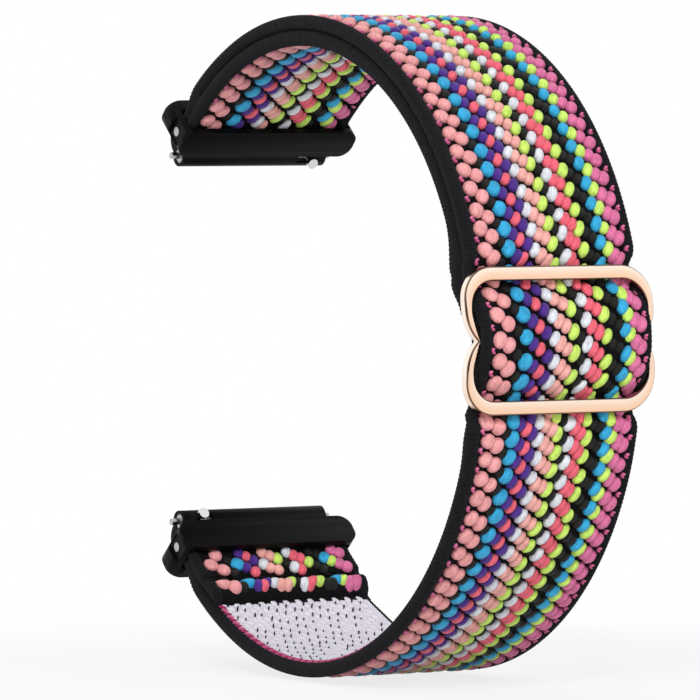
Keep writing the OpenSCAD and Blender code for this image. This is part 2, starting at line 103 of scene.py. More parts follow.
camera = bpy.data.objects.new("camera", bpy.data.cameras.new("camera"))
scene.collection.objects.link(camera)
scene.camera = camera
camera.data.sensor_width = 36
camera.data.lens = FOCAL_PIXELS / FRAME_PIXELS * camera.data.sensor_width
camera.data.shift_x, camera.data.shift_y = [pixels / FRAME_PIXELS for pixels in SHIFT_PIXELS]
camera.data.clip_start, camera.data.clip_end = 0.05, 20
turned = Matrix((right, up, to_camera.normalized())).transposed().to_4x4()
camera.matrix_world = Matrix.Translation(LOOP_MIDDLE + to_camera * CAMERA_FAR * MM) @ turned
print("camera: lens", round(camera.data.lens, 1), "mm")

# %% [markdown]
# ## Writing materials as sums
# A material is easier to read as arithmetic than as a list of nodes. `Signal` wraps one output
# socket and adds a Math node for each operator, and `Recipe.add` makes any other node from its
# type, its settings and its inputs. The short methods below it name the nodes that come up often.


# %% Signals and recipes
class Signal:
    """A number on its way through a material's nodes."""

    def __init__(self, recipe, socket):
        self.recipe, self.socket = recipe, socket

    def _with(self, operation, first, second):
        return self.recipe.add("ShaderNodeMath", {"operation": operation}, {0: first, 1: second})

    def __add__(self, other):
        return self._with("ADD", self, other)

    def __radd__(self, other):
        return self._with("ADD", other, self)

    def __sub__(self, other):
        return self._with("SUBTRACT", self, other)

    def __rsub__(self, other):
        return self._with("SUBTRACT", other, self)

    def __mul__(self, other):
        return self._with("MULTIPLY", self, other)

    def __rmul__(self, other):
        return self._with("MULTIPLY", other, self)


class Recipe:
    """The nodes of one material, or of the studio round the strap."""

    def __init__(self, name, world=None):
        self.material = world or bpy.data.materials.new(name)
        self.material.use_nodes = True
        self.tree = self.material.node_tree
        self.shader = self.tree.nodes["Background" if world else "Principled BSDF"]

    def add(self, kind, settings, inputs, out=0):
        """Any node, from its type, its settings and the values or links of its sockets."""
        node = self.tree.nodes.new(kind)
        for key, value in settings.items():
            setattr(node, key, value)
        self.feed(node, inputs)
        return Signal(self, node.outputs[out])

    def feed(self, node, inputs):
        for key, value in inputs.items():
            if isinstance(value, Signal):
                self.tree.links.new(value.socket, node.inputs[key])
            else:
                node.inputs[key].default_value = value

    def shade(self, **inputs):
        self.feed(self.shader, {key.replace("_", " "): value for key, value in inputs.items()})
        return self.material

    def mixed(self, share, first, second):
        """One colour turning into another where share goes from 0 to 1."""
        return self.add("ShaderNodeMix", {"data_type": "RGBA"}, {0: share, 6: first, 7: second}, out=2)

    def noise(self, vector, scale, detail=2.0, roughness=0.5):
        return self.add("ShaderNodeTexNoise", {}, {"Vector": vector, "Scale": scale, "Detail": detail,
                                                   "Roughness": roughness})

    def vector(self, operation, first, second, out="Vector"):
        return self.add("ShaderNodeVectorMath", {"operation": operation}, {0: first, 1: second}, out=out)

    def part(self, vector, axis):
        return self.add("ShaderNodeSeparateXYZ", {}, {0: vector}, out=axis)

    def ranged(self, value, low, high, to_low, to_high, kind="LINEAR"):
        return self.add("ShaderNodeMapRange", {"interpolation_type": kind},
                        {"Value": value, "From Min": low, "From Max": high,
                         "To Min": to_low, "To Max": to_high})

    def strand(self):
        """A point's place on its own puff, kept in its attribute."""
        return self.add("ShaderNodeAttribute", {"attribute_name": "strand"}, {}, out="Vector")

    def spot(self, kind="Object"):
        return self.add("ShaderNodeTexCoord", {}, {}, out=kind)

    def ray(self, kind):
        return self.add("ShaderNodeLightPath", {}, {}, out=kind)

    def bump(self, height, strength, distance):
        return self.add("ShaderNodeBump", {}, {"Height": height, "Strength": strength, "Distance": distance})


def paint(code, gain=1.0):
    """A colour written as on a paint chart, as the linear numbers that a shader takes."""
    parts = [int(code[i:i + 2], 16) / 255 for i in (0, 2, 4)]
    linear = [p / 12.92 if p <= 0.04045 else ((p + 0.055) / 1.055) ** 2.4 for p in parts]
    return (*[min(1.0, gain * p) for p in linear], 1.0)


# %% [markdown]
# ## Yarn
# Each puff of the braid is a bundle of fine filaments. They could be modelled one by one, but from
# a step away they only show as soft streaks along the puff, a little lighter and darker, with a
# dull sheen. So one recipe makes the streaks from noise, between a shaded and a lit tone of the yarn:
# partly the filaments' own tone, partly painted light and shade. It also paints shade on each puff,
# darker towards its rim where it dives between its neighbours. Every point carries its place on its
# own puff in an attribute called `strand`, and the same recipe serves all the colours.

# %% Yarn materials
FILAMENTS = (9.0, 0.9, 1.0)
# Shaded and lit tones of each yarn colour. The base colour is painted between them as painted light and
# shade.
SHADED, LIT = 0.5, 1.2
YARN_CODES = {
    "salmon": "F8A3A4", "black": "191917", "blue": "35A6D6", "purple": "4A2A84", "coral": "EE6678",
    "white": "DEE0E8", "neon": "CBF76C", "pink": "DC72A0", "apricot": "FAACA4", "magenta": "C85A86",
    "rose": "A02C60",
}


def yarn(name, code):
    recipe = Recipe(name)
    strand = recipe.strand()
    streaks = recipe.noise(recipe.vector("MULTIPLY", strand, FILAMENTS), 1.0, 3.0, 0.6)
    patches = recipe.noise(strand, 1.1, 1.0)
    # Painted shade: the colour is darker towards each puff's rim, where its height on the puff (strand Z) is
    # low.
    top = recipe.part(strand, "Z")
    share = (streaks * 1.9 + patches * 0.8 - 0.75) * (top * 0.75 + 0.3)
    dull = name.endswith("black")
    # The base colour goes from the shaded to the lit tone: partly the filaments' own tone, partly painted
    # light and shade.
    return recipe.shade(Base_Color=recipe.mixed(share, paint(code, SHADED), paint(code, LIT)), Roughness=0.5,
                        Sheen_Weight=0.0 if dull else 0.08, Sheen_Roughness=0.4,
                        Specular_IOR_Level=0.2 if dull else 0.25, Normal=recipe.bump(streaks, 1.0, 0.00016))


yarns = {name: yarn("yarn_" + name, code) for name, code in YARN_CODES.items()}
print("yarn materials:", len(yarns))

# %% [markdown]
# ## Edges and backs
# The selvedges are woven black and look matte and a little fuzzy. The back of the braid, which lies
# on the wrist, is a fine pale knit. Both are one recipe: two near tones mixed by a noise, which also
# drives a small bump, because the form of ribs and loops comes from the mesh.


# %% Cloth materials
def cloth(name, dark, light, grain, strength, stretch=(1.0, 1.0, 1.0), sheen=0.02):
    recipe = Recipe(name)
    fuzz = recipe.noise(recipe.vector("MULTIPLY", recipe.strand(), stretch), grain, 4.0, 0.65)
    return recipe.shade(Base_Color=recipe.mixed(fuzz, paint(dark), paint(light)), Roughness=0.85,
                        Sheen_Weight=sheen, Sheen_Roughness=0.5, Specular_IOR_Level=0.08,
                        Normal=recipe.bump(fuzz, strength, 0.00015))


edge_cloth = cloth("edge_black", "030304", "232326", 1.0, 1.0, (1.3, 5.5, 1.3))
ground_cloth = cloth("ground_black", "040405", "141315", 4.0, 0.8)
knit_cloth = cloth("knit_pale", "B9B4C4", "F3F0F7", 3.0, 0.7, sheen=0.1)
thread_cloth = cloth("thread_dark", "08080A", "1C1C20", 6.0, 0.8)
cloths = [ground_cloth, edge_cloth, knit_cloth]
GROUND, SELVEDGE, BACK = range(len(cloths))
print("cloth materials:", len(cloths) + 1)

# %% [markdown]
# ## The strap's path
# All the webbing lies on circles round one middle. Angles go from the slider's side upwards. The
# outer layer dips under the slider's top and bottom bars and rises over its centre bar, and near
# the connectors the two layers are pressed together before they turn round a bar. Functions of the
# angle say all this once, and every piece of webbing, puff and stitch takes its place from them.

# %% Sizes from the part
LAYER = 1.9
OUTER_R = 38.35
MIDDLE_R = OUTER_R - LAYER
INNER_R = OUTER_R - 2 * LAYER
TURN_OUTER_R = 37.4
TURN_THICK = 2.7
CROSS_BAR_R = TURN_OUTER_R - TURN_THICK / 2
TAPER_FROM, TAPER_TO, CROSS_BAR_A = 127.95, 133.99, 136.85
TAIL_FROM = 119.26
LIP_A = 133.5
SLIDER_A = 2.65
CENTRE_HALF = 1.1
HUMP, HUMP_FLAT, HUMP_POWER = 1.6, 0.55, 2.6
DIP, DIP_TO, DIP_END = 0.7, 8.51, 9.7
SECTION_HALF = math.degrees(DIP_END / OUTER_R)
section_from, section_to = SLIDER_A - SECTION_HALF, SLIDER_A + SECTION_HALF
print("slider section from", round(section_from, 2), "to", round(section_to, 2), "degrees")


# %% Outer face
def eased(t):
    t = np.clip(t, 0, 1)
    return t * t * (3 - 2 * t)


def along(angle):
    """Millimetres along the webbing from the slider's middle, positive upwards."""
    return np.radians(np.asarray(angle, float) - SLIDER_A) * OUTER_R


def taper(angle):
    """Goes from 0 to 1 where the webbing is pressed thinner before a connector."""
    return eased((np.abs(np.asarray(angle, float)) - TAPER_FROM) / (TAPER_TO - TAPER_FROM))


# At each place across, how far from the slider's middle the webbing is down at the window's edge.
WINDOW_Y = [8.7, 9.6, 10.4, 11.0]
WINDOW_S = [6.55, 6.4, 6.05, 5.7]


def outer_radius(angle, y=0.0):
    """Outer face of the webbing round the whole loop, bumps and taper included. In the slider's
    windows it bulges up and goes down at the window's edge, sooner at the round corners."""
    s = np.abs(along(angle))
    down = np.interp(np.abs(y), WINDOW_Y, WINDOW_S)
    fall = np.clip((s - HUMP_FLAT) / (down - HUMP_FLAT), 0, 1) ** HUMP_POWER
    near = OUTER_R + HUMP - (HUMP + DIP) * fall
    far = OUTER_R - DIP + DIP * eased((s - DIP_TO) / (DIP_END - DIP_TO))
    return np.where(s < DIP_TO, near, far) + (TURN_OUTER_R - OUTER_R) * taper(angle)


print("webbing over the centre bar:", round(float(outer_radius(SLIDER_A)), 2), "mm from the middle")

# %% Inner faces
PRESSED, PRESS_FADE = 1.3, 1.5
RIM_FROM, RIM_FADE = 9.4, 0.5
# Below the slider's middle, each is a place along the webbing, half a length and an added thickness.
UNDER_BAR, BELOW_SLIDER, ROLLED_RIM = (-7.2, 1.2, -0.8), (-11.3, 2.4, 0.5), (-2.7, 1.3, 1.0)
SLACK, SLACK_FROM, SLACK_RISE, SLACK_TO, SLACK_FALL, SLACK_POWER = 1.5, 3.0, 5.0, 8.0, 8.0, 1.3


def bell(s, middle, half, height=1.0):
    return height * np.exp(-(((s - middle) / half) ** 2))


def under_radius(angle, y=0.0):
    """Back of the outer layer. It is pressed thinner over the centre bar and under the bottom bar,
    swells below the slider, and its rims roll over in the lower window."""
    s = along(angle)
    thick = PRESSED + (LAYER - PRESSED) * eased((np.abs(s) - CENTRE_HALF) / PRESS_FADE)
    rim = eased((np.abs(y) - RIM_FROM) / RIM_FADE)
    lower = bell(s, *UNDER_BAR) + bell(s, *BELOW_SLIDER) + rim * bell(s, *ROLLED_RIM)
    return outer_radius(angle, y) - thick - np.where(s < 0, lower, 0.0)


def slack(angle):
    """How far the inner layer hangs off the outer one where both pass under the top bar."""
    s = along(angle)
    fading = (1 - eased((s - SLACK_TO) / SLACK_FALL)) ** SLACK_POWER
    return SLACK * eased((s - SLACK_FROM) / SLACK_RISE) * fading


def wrist_radius(angle, y=0.0):
    """Inner face of the doubled webbing, with the taper and the slack by the slider."""
    return INNER_R + (TURN_OUTER_R - TURN_THICK - INNER_R) * taper(angle) - slack(angle)


def on_loop(radius, angle, y):
    """Points in metres from radii in millimetres and angles in degrees."""
    turn = np.radians(angle)
    x, z = LOOP_X + radius * np.cos(turn), radius * np.sin(turn)
    return np.stack([x, np.broadcast_to(y, np.shape(turn)), z], -1) * MM


print("its thickness there:", round(float(outer_radius(SLIDER_A) - under_radius(SLIDER_A)), 2), "mm")

# %% [markdown]
# ## Building meshes from many small forms
# Thousands of puffs are quick to make when they are one array, and slow as objects of their own.
# `Mesh` collects points, faces, a material number for each face and the strand of each point, and
# turns them into one Blender object at the end.


# %% Mesh collector
class Mesh:
    """Many small forms on their way to one object."""

    def __init__(self, name, materials):
        self.name, self.materials = name, list(materials)
        self.points, self.strands, self.loops, self.totals, self.numbers = [], [], [], [], []
        self.count = 0

    def add(self, points, strands, faces, numbers):
        """faces is a list of arrays, each with as many columns as its faces have corners."""
        self.points.append(points.reshape(-1, 3))
        self.strands.append(strands.reshape(-1, 3))
        for array, number in zip(faces, numbers):
            self.loops.append((array + self.count).ravel())
            self.totals.append(np.full(len(array), array.shape[1]))
            self.numbers.append(np.broadcast_to(number, len(array)))
        self.count += len(self.points[-1])

    def build(self):
        points, strands = np.concatenate(self.points), np.concatenate(self.strands)
        loops, totals = np.concatenate(self.loops), np.concatenate(self.totals)
        mesh = bpy.data.meshes.new(self.name)
        mesh.vertices.add(len(points))
        mesh.vertices.foreach_set("co", points.astype(np.float32).ravel())
        mesh.loops.add(len(loops))
        mesh.loops.foreach_set("vertex_index", loops.astype(np.int32))
        mesh.polygons.add(len(totals))
        mesh.polygons.foreach_set("loop_start", (np.cumsum(totals) - totals).astype(np.int32))
        mesh.polygons.foreach_set("material_index", np.concatenate(self.numbers).astype(np.int32))
        mesh.update(calc_edges=True)
        mesh.validate()
        mesh.shade_smooth()
        attribute = mesh.attributes.new("strand", "FLOAT_VECTOR", "POINT")
        attribute.data.foreach_set("vector", strands.astype(np.float32).ravel())
        for material in self.materials:
            mesh.materials.append(material)
        piece = bpy.data.objects.new(self.name, mesh)
        scene.collection.objects.link(piece)
        print(f"{self.name}: {int((totals - 2).sum())} triangles")
        return piece


def grid_faces(rows, columns, closed=False):
    """Faces between rows of points. Each row is a closed ring, and the rows may close as well."""
    row, column = np.arange(rows if closed else rows - 1)[:, None], np.arange(columns)[None]
    here, below, after = row * columns, (row + 1) % rows * columns, (column + 1) % columns
    return np.stack([here + column, here + after, below + after, below + column], -1).reshape(-1, 4)


# %% [markdown]
# ## One puff
# A puff is where a bundle of yarn comes up between its neighbours: the upper part of a cushion-like
# egg. Its sides are fuller than an egg's, so that neighbours press against each other as they do in
# the braid. It is made once as unit points and then copied with its own size, place and slant.


# %% Puff form
def puff_form(sides, rings, reach=112.0, full=0.8):
    """Unit points and faces of one puff, with a pole on top."""
    steps = np.radians(reach * np.arange(1, rings + 1) / rings)
    turn = 2 * np.pi * np.arange(sides) / sides
    wide = np.sin(np.minimum(steps, np.pi / 2)) ** full
    wide = np.where(steps > np.pi / 2, np.sin(steps), wide)
    x = np.concatenate([[0], np.outer(wide, np.cos(turn)).ravel()])
    y = np.concatenate([[0], np.outer(wide, np.sin(turn)).ravel()])
    z = np.concatenate([[1], np.repeat(np.cos(steps), sides)])
    k = np.arange(sides)
    after = (k + 1) % sides
    cap = np.stack([np.zeros(sides, int), 1 + k, 1 + after], 1)
    walls = []
    for ring in range(rings - 1):
        here, below = 1 + ring * sides, 1 + (ring + 1) * sides
        walls.append(np.stack([here + k, below + k, below + after, here + after], 1))
    return np.stack([x, y, z], 1), cap, np.concatenate(walls)


PUFF = puff_form(14, 6)
SMALL_PUFF = puff_form(8, 3)


def lay_puffs(mesh, form, radius, out, way, angles, ys, wide, long, height, tilt, numbers, lift=0.0, seed=1):
    """Lays one puff at each angle and y on a face of the webbing.
    out is 1 on an outer face and -1 on a wrist face, way is the strap's direction along it."""
    unit, cap, walls = form
    rng = np.random.default_rng(seed)
    count = len(angles)
    if not count:
        return
    angles, ys = np.asarray(angles, float)[:, None], np.asarray(ys, float)[:, None]
    wide, long, height = (np.broadcast_to(v, count)[:, None] for v in (wide, long, height))
    tilt, lift = np.radians(np.broadcast_to(tilt, count))[:, None], np.broadcast_to(lift, count)[:, None]
    u, v, w = unit[:, 0] * wide / 2, unit[:, 1] * long / 2, unit[:, 2] * height
    across = ys + (u * np.cos(tilt) + v * np.sin(tilt))
    place = angles + way * np.degrees((-u * np.sin(tilt) + v * np.cos(tilt)) / radius(angles))
    points = on_loop(radius(place, across) + out * (w - height + lift), place, across)
    phase = rng.uniform(0, 40, (count, 1))
    # The third part of each strand is the height on the puff, which the yarn uses to paint shade towards the
    # rim.
    strands = np.stack([u + phase, v + phase, np.broadcast_to(unit[:, 2], u.shape)], -1)
    first = (np.arange(count) * len(unit))[:, None, None]
    caps, sides = (cap[None] + first).reshape(-1, 3), (walls[None] + first).reshape(-1, 4)
    if out * way < 0:
        caps, sides = caps[:, ::-1], sides[:, ::-1]
    numbers = np.asarray(numbers)
    mesh.add(points, strands, [caps, sides], [np.repeat(numbers, len(cap)), np.repeat(numbers, len(walls))])


print("puff points:", len(PUFF[0]), "and", len(SMALL_PUFF[0]))

# %% [markdown]
# ## The braid's columns and rows
# Across the strap there are 22 columns of puffs. In each next column the puffs sit about a quarter
# of a period further along, which makes the slanting rows. A list gives each column's colour, its
# place across, how far its puffs are moved along, and how wide and long they are. The rows are
# counted from the slider's middle. They lie closer together by the slider than near the connectors,
# so some rows have their angle given and the others are spaced evenly between them.

# %% Columns
COLUMNS = [
    ("salmon", -8.85, 0.00, 1.85, 1.75), ("salmon", -7.55, -0.33, 1.70, 1.75),
    ("black", -6.35, -0.68, 1.30, 1.50), ("blue", -5.30, -0.98, 1.75, 1.90),
    ("purple", -4.35, -1.26, 1.25, 1.65), ("coral", -3.55, -1.49, 1.20, 1.65),
    ("purple", -2.75, -1.80, 1.25, 1.65), ("white", -1.85, -2.05, 1.25, 1.80),
    ("apricot", -1.05, -2.29, 1.30, 1.75), ("apricot", -0.25, -2.52, 1.30, 1.70),
    ("neon", 0.60, -2.75, 1.30, 1.90), ("black", 1.40, -3.02, 1.20, 1.50),
    ("white", 2.20, -3.29, 1.25, 1.85), ("coral", 2.95, -3.55, 1.25, 1.75),
    ("coral", 3.65, -3.78, 1.25, 1.75), ("neon", 4.50, -4.04, 1.30, 1.90),
    ("black", 5.35, -4.27, 1.25, 1.50), ("black", 6.15, -4.48, 1.25, 1.50),
    ("blue", 7.00, -4.74, 1.35, 1.75), ("neon", 7.75, -5.03, 1.30, 1.80),
    ("pink", 8.60, -5.27, 1.40, 1.80), ("pink", 9.40, -5.53, 1.50, 1.80),
]
COLUMN_YARNS = list(yarns)
print("columns:", len(COLUMNS))

# %% Rows
ROW_NUMBERS = [-36, -32, -26, -21, -19, -17, -15, -13, -10, -8, -6, -2, 0,
               2, 4, 7, 9, 11, 13, 15, 17, 20, 24, 28, 38]
ROW_ANGLES = [-140.3, -122.9, -96.9, -75.3, -66.5, -58.5, -51.0, -43.7, -32.3, -24.8, -17.6, -4.4, 2.95,
              10.5, 18.2, 29.3, 37.0, 44.9, 53.2, 61.6, 70.2, 83.2, 100.5, 117.7, 160.9]
INNER_ROW_NUMBERS = [-10, 0, 2, 4, 6, 40]
INNER_ROW_ANGLES = [169.2, 123.2, 114.0, 104.6, 94.9, -75.0]
ALL_ROWS = np.arange(-45, 60)


def outer_rows(row):
    return np.interp(row, ROW_NUMBERS, ROW_ANGLES)


def inner_rows(row):
    return np.interp(row, INNER_ROW_NUMBERS, INNER_ROW_ANGLES)


def rows_between(rows, offset, a_from, a_to):
    """Angles of one column's puffs that lie between two angles."""
    angles = rows(ALL_ROWS + offset)
    return angles[(angles > a_from) & (angles < a_to)]


print("rows from end to end:", len(rows_between(outer_rows, 0.0, -TAPER_FROM, TAPER_FROM)))

# %% [markdown]
# ## Where the braid is pushed sideways
# Over the centre bar most columns of the outer layer lie further to one side, and on the free runs
# the strap is a little wider. A cloth solver could find this, but a small sideways push for each
# place across is enough and is the same each time.

# %% Drift
DRIFT_PLACES = [-11, -8.85, -5.3, -0.5, 3.0, 4.5, 7.0, 7.75, 9.4, 11]
DRIFT = [0.0, 0.12, 0.05, 0.45, 0.75, 1.0, 1.1, 1.0, 0.85, 0.62]
OVER_BAR_TO, OVER_BAR_FADE = 4.8, 3.7
SPREAD_PLACES = [-11, -9.8, -7.55, -5.3, 6.0, 9.4, 11]
SPREAD = [0.0, 0.4, 0.4, 0.0, 0.1, 0.35, 0.6]
SPREAD_FROM, SPREAD_RISE, SPREAD_END_A, SPREAD_FADE = 8.3, 2.5, 115.0, 12.0


def drift(angles, y):
    """How far the outer layer is pushed towards +Y: most over the slider's centre bar, a little at
    the borders on the free runs, and hardly at all under the other two bars and at the ends."""
    s = np.abs(along(angles))
    over_bar = 1 - eased((s - OVER_BAR_TO) / OVER_BAR_FADE)
    free = eased((s - SPREAD_FROM) / SPREAD_RISE) * (1 - eased((np.abs(angles) - SPREAD_END_A) / SPREAD_FADE))
    return np.interp(y, DRIFT_PLACES, DRIFT) * over_bar + np.interp(y, SPREAD_PLACES, SPREAD) * free


print("longest push:", max(DRIFT), "mm over the bar,", max(SPREAD), "mm on the free runs")

# %% Laying the braid
BLACK_SUNK = 0.16
ANGLE_SHAKE, PLACE_SHAKE, SIZE_SHAKE = 0.12, 0.05, 0.04
SLANT, SLANT_SHAKE = 26, 5


def lay_braid(mesh, rows, radius, out, a_from, a_to, height=0.62, seed=5, first=0, size=(1.05, 1.12)):
    """Covers a face between two angles with the puffs of every column. first is the number of the
    first yarn among the mesh's materials."""
    rng = np.random.default_rng(seed)
    laid = 0
    for name, y, offset, wide, long in COLUMNS:
        angles = rows_between(rows, offset, a_from, a_to)
        count = len(angles)
        shake = rng.normal(0, 1, (5, count))
        places = y + PLACE_SHAKE * shake[1] + drift(angles, y) * (out > 0)
        lay_puffs(mesh, PUFF, radius, out, out, angles + ANGLE_SHAKE * shake[0], places,
                  wide * size[0] * (1 + SIZE_SHAKE * shake[2]), long * size[1] * (1 + SIZE_SHAKE * shake[3]),
                  height, SLANT + SLANT_SHAKE * shake[4], np.full(count, first + COLUMN_YARNS.index(name)),
                  lift=-BLACK_SUNK if name == "black" else 0.0, seed=seed + laid)
        laid += count
    return laid


# %% [markdown]
# ## The webbing under the puffs
# A strip with a black ground, thick rounded selvedges and a flat back carries the puffs. Its
# section is drawn once and swept along the path, and the selvedges are ribbed by moving their
# points in and out as the sweep goes along. Real ribs catch the light along the whole rim, which a
# bump on a smooth rim wouldn't do.

# %% Section of the webbing
# Each point is a place across, a share of the layer's thickness from the outer face, and how much
# the ribs move it.
EDGE = [(9.75, 0.34, 0.0), (9.92, 0.26, 0.2), (10.06, 0.14, 0.6), (10.25, 0.07, 1.0), (10.5, 0.05, 1.0),
        (10.74, 0.10, 1.0), (10.92, 0.22, 1.0), (11.0, 0.40, 1.0), (11.0, 0.60, 1.0), (10.92, 0.78, 1.0),
        (10.74, 0.90, 1.0), (10.5, 0.96, 1.0), (10.2, 0.98, 0.6)]
FIELD = (-7.5, -5.0, -2.5, 0.0, 2.5, 5.0, 7.5)
RIB_PITCH, RIB_DEPTH, RIB_SHARP, RIB_NARROW, RIB_SHARE = 0.55, 0.08, 1.5, 0.09, 0.3


def section(edge, field_share, back_share):
    """Closed outline of the webbing: field, far edge, back, near edge."""
    field = [(y, field_share, 0.0) for y in FIELD]
    back = [(-y, back_share, 0.0) for y in FIELD]
    near = [(-y, share, rib) for y, share, rib in reversed(edge)]
    return np.array(field + edge + back + near)


def labels(edge, back):
    """Material number of each face between two points of a section."""
    rims = [SELVEDGE] * (len(edge) - 1)
    return np.array([GROUND] * len(FIELD) + rims + [back] * (len(FIELD) + 1) + rims + [GROUND])


SINGLE, SHOWN, HIDDEN = section(EDGE, 0.36, 0.985), labels(EDGE, BACK), labels(EDGE, GROUND)
print("section points:", len(SINGLE), "labels:", len(SHOWN))


# %% Sweeping the section
def even(a_from, a_to, step=0.12):
    """Angles between two, about a step of webbing apart."""
    return np.linspace(a_from, a_to, max(6, int(math.radians(a_to - a_from) * OUTER_R / step)) + 1)


def sweep(mesh, outline, r_out, r_in, angles, numbers_of, push=0.0):
    """Sweeps the outline between two radii along the loop, ribbing its selvedges."""
    angles = angles[:, None]
    y, share, rib = outline.T
    s = np.radians(angles) * OUTER_R
    groove = RIB_DEPTH * (1 - np.abs(np.sin(np.pi * s / RIB_PITCH))) ** RIB_SHARP * rib
    outer, inner = r_out(angles, y), r_in(angles, y)
    middle = (outer + inner) / 2
    radius = outer + (inner - outer) * share
    on_face = np.where(np.abs(share - 0.5) > RIB_SHARE, 1.0, 0.0)
    radius = radius + np.sign(middle - radius) * groove * on_face
    across = y * (1 - RIB_NARROW * groove) + push * drift(angles, y)
    points = on_loop(radius, np.broadcast_to(angles, radius.shape), across)
    places = [np.broadcast_to(y, radius.shape), np.broadcast_to(s, radius.shape), radius - OUTER_R]
    rows, n = radius.shape
    ends = [np.arange(n)[None, ::-1], ((rows - 1) * n + np.arange(n))[None]]
    mesh.add(points, np.stack(places, -1), [grid_faces(rows, n), *ends],
             [np.tile(numbers_of, rows - 1), SELVEDGE, SELVEDGE])


# %% [markdown]
# ## Lower run
# A single layer runs from the lower connector to the slider. Its outer face has the braid, its
# wrist face the knit. It stretches evenly when the slider is moved.

# %% Lower run
strips = {}


def run(name, outline, r_out, r_in, stretches, rows, out, seed, push):
    """A run of webbing and the braid on one of its faces. Each stretch is two angles and its labels."""
    strap = Mesh(name + "_strap", cloths)
    for a_from, a_to, numbers_of in stretches:
        sweep(strap, outline, r_out, r_in, even(a_from, a_to), numbers_of, push)
    strips[strap.name] = strap.build()
    braid = Mesh(name + "_braid", yarns.values())
    face = r_out if out > 0 else r_in
    laid = lay_braid(braid, rows, face, out, stretches[0][0], stretches[-1][1], seed=seed)
    strips[braid.name] = braid.build()
    print("puffs on the", name, "run:", laid)


run("lower", SINGLE, outer_radius, under_radius, [(-TAPER_FROM, section_from, SHOWN)],
    outer_rows, out=1, seed=11, push=1.0)

# %% [markdown]
# ## Upper run, outside and inside
# Above the slider the webbing is doubled. The outer layer shows its braid outside. The inner layer
# has been turned over round the upper bar, so it shows the same braid on the wrist side. Its rims
# overlap the outer layer's a little, so that no light comes through between the two.

# %% Upper run
run("upper", SINGLE, outer_radius, under_radius, [(section_to, TAPER_FROM, HIDDEN)],
    outer_rows, out=1, seed=21, push=1.0)

# %% Inner run
TURNED = SINGLE * (1, -1, 1) + (0, 1, 0)
FIELD_HALF, LAP = 10.15, 0.12


def inner_back(angle, y=0.0):
    """Outer side of the inner layer. Its rims reach the outer layer, its middle keeps its thickness."""
    field = np.minimum(wrist_radius(angle) + LAYER, MIDDLE_R)
    return np.where(np.abs(y) < FIELD_HALF, field, MIDDLE_R + LAP)


run("inner", TURNED, inner_back, wrist_radius, [(section_to, TAPER_FROM, HIDDEN)],
    inner_rows, out=-1, seed=31, push=0.0)

# %% [markdown]
# ## Threaded webbing
# Inside the slider the webbing rises over the centre bar. On the real strap it slides through. Here
# this stretch moves with the slider. Its back only shows the knit below the place where the other
# end of the webbing is wrapped round the bar.

# %% Threaded webbing
WRAP_FROM_S = -2.6
wrap_from = SLIDER_A + math.degrees(WRAP_FROM_S / OUTER_R)
run("threaded", SINGLE, outer_radius, under_radius,
    [(section_from, wrap_from, SHOWN), (wrap_from, section_to, HIDDEN)],
    outer_rows, out=1, seed=41, push=1.0)

# %% [markdown]
# ## Turns at the connectors
# Each end of the doubled webbing is pressed thinner and turns round a bar inside its connector. The
# section now has two rims with a groove between the layers, and both of its faces carry puffs. One
# solid strip with a grooved edge is simpler than two thin layers, and inside the shell it can't be
# told apart.

# %% Turns
PAIR_EDGE = [(9.75, 0.18, 0.0), (9.92, 0.13, 0.2), (10.06, 0.07, 0.6), (10.3, 0.03, 1.0), (10.6, 0.03, 1.0),
             (10.85, 0.08, 1.0), (11.0, 0.20, 1.0), (11.0, 0.30, 1.0), (10.9, 0.41, 1.0), (10.7, 0.50, 0.0),
             (10.9, 0.59, 1.0), (11.0, 0.70, 1.0), (11.0, 0.80, 1.0), (10.85, 0.92, 1.0), (10.6, 0.97, 1.0),
             (10.3, 0.97, 1.0), (10.06, 0.93, 0.6), (9.92, 0.87, 0.2), (9.75, 0.82, 0.0)]
PAIR, PAIR_LABELS = section(PAIR_EDGE, 0.18, 0.82), labels(PAIR_EDGE, GROUND)
TURN_END = CROSS_BAR_A + math.degrees(TURN_THICK / 2 / CROSS_BAR_R)
TURN_PUFF_HEIGHT, TURN_OVERLAP = 0.5, 0.5


def round_bar(angle, side, y=0.0):
    """Outer (side 1) or wrist (side -1) radius of the webbing at the connectors, round end included."""
    past = np.radians(np.maximum(np.abs(angle) - CROSS_BAR_A, 0)) * CROSS_BAR_R
    half = np.sqrt(np.maximum((TURN_THICK / 2) ** 2 - past ** 2, 1e-4))
    straight = outer_radius(angle) if side > 0 else wrist_radius(angle)
    return np.where(np.abs(angle) > CROSS_BAR_A, CROSS_BAR_R + side * half, straight)


def turn_piece(name, end, wrist_rows, seed):
    """The pressed and turned webbing at one connector, end is 1 above and -1 below."""
    bend = CROSS_BAR_A + (TURN_END - CROSS_BAR_A) * np.sin(np.linspace(0, np.pi / 2, 10)[1:])
    angles = np.sort(end * np.concatenate([even(TAPER_FROM, CROSS_BAR_A), bend]))
    mesh = Mesh(name, [*cloths, *yarns.values()])
    sweep(mesh, PAIR, lambda a, y: round_bar(a, 1), lambda a, y: round_bar(a, -1), angles, PAIR_LABELS)
    low, high = sorted([end * TAPER_FROM, end * LIP_A])
    for out, rows, radius in ((1, outer_rows, outer_radius), (-1, wrist_rows, wrist_radius)):
        lay_braid(mesh, rows, radius, out, low - TURN_OVERLAP, high + TURN_OVERLAP, height=TURN_PUFF_HEIGHT,
                  seed=seed + (out < 0), first=len(cloths))
    strips[name] = mesh.build()


# %% Rows of the folded end
TAIL_ROWS = [-6.23, -1.23, -0.23, 0.77, 1.77, 6.77]
TAIL_ANGLES = [-93.0, -118.5, -124.0, -129.4, -133.5, -155.0]
TAIL_END, CREASE_A, BESIDE_CREASE, LAST_ROW, LAST_ROW_REACH = 121.7, -126.7, 1.5, 2.35, 2.6


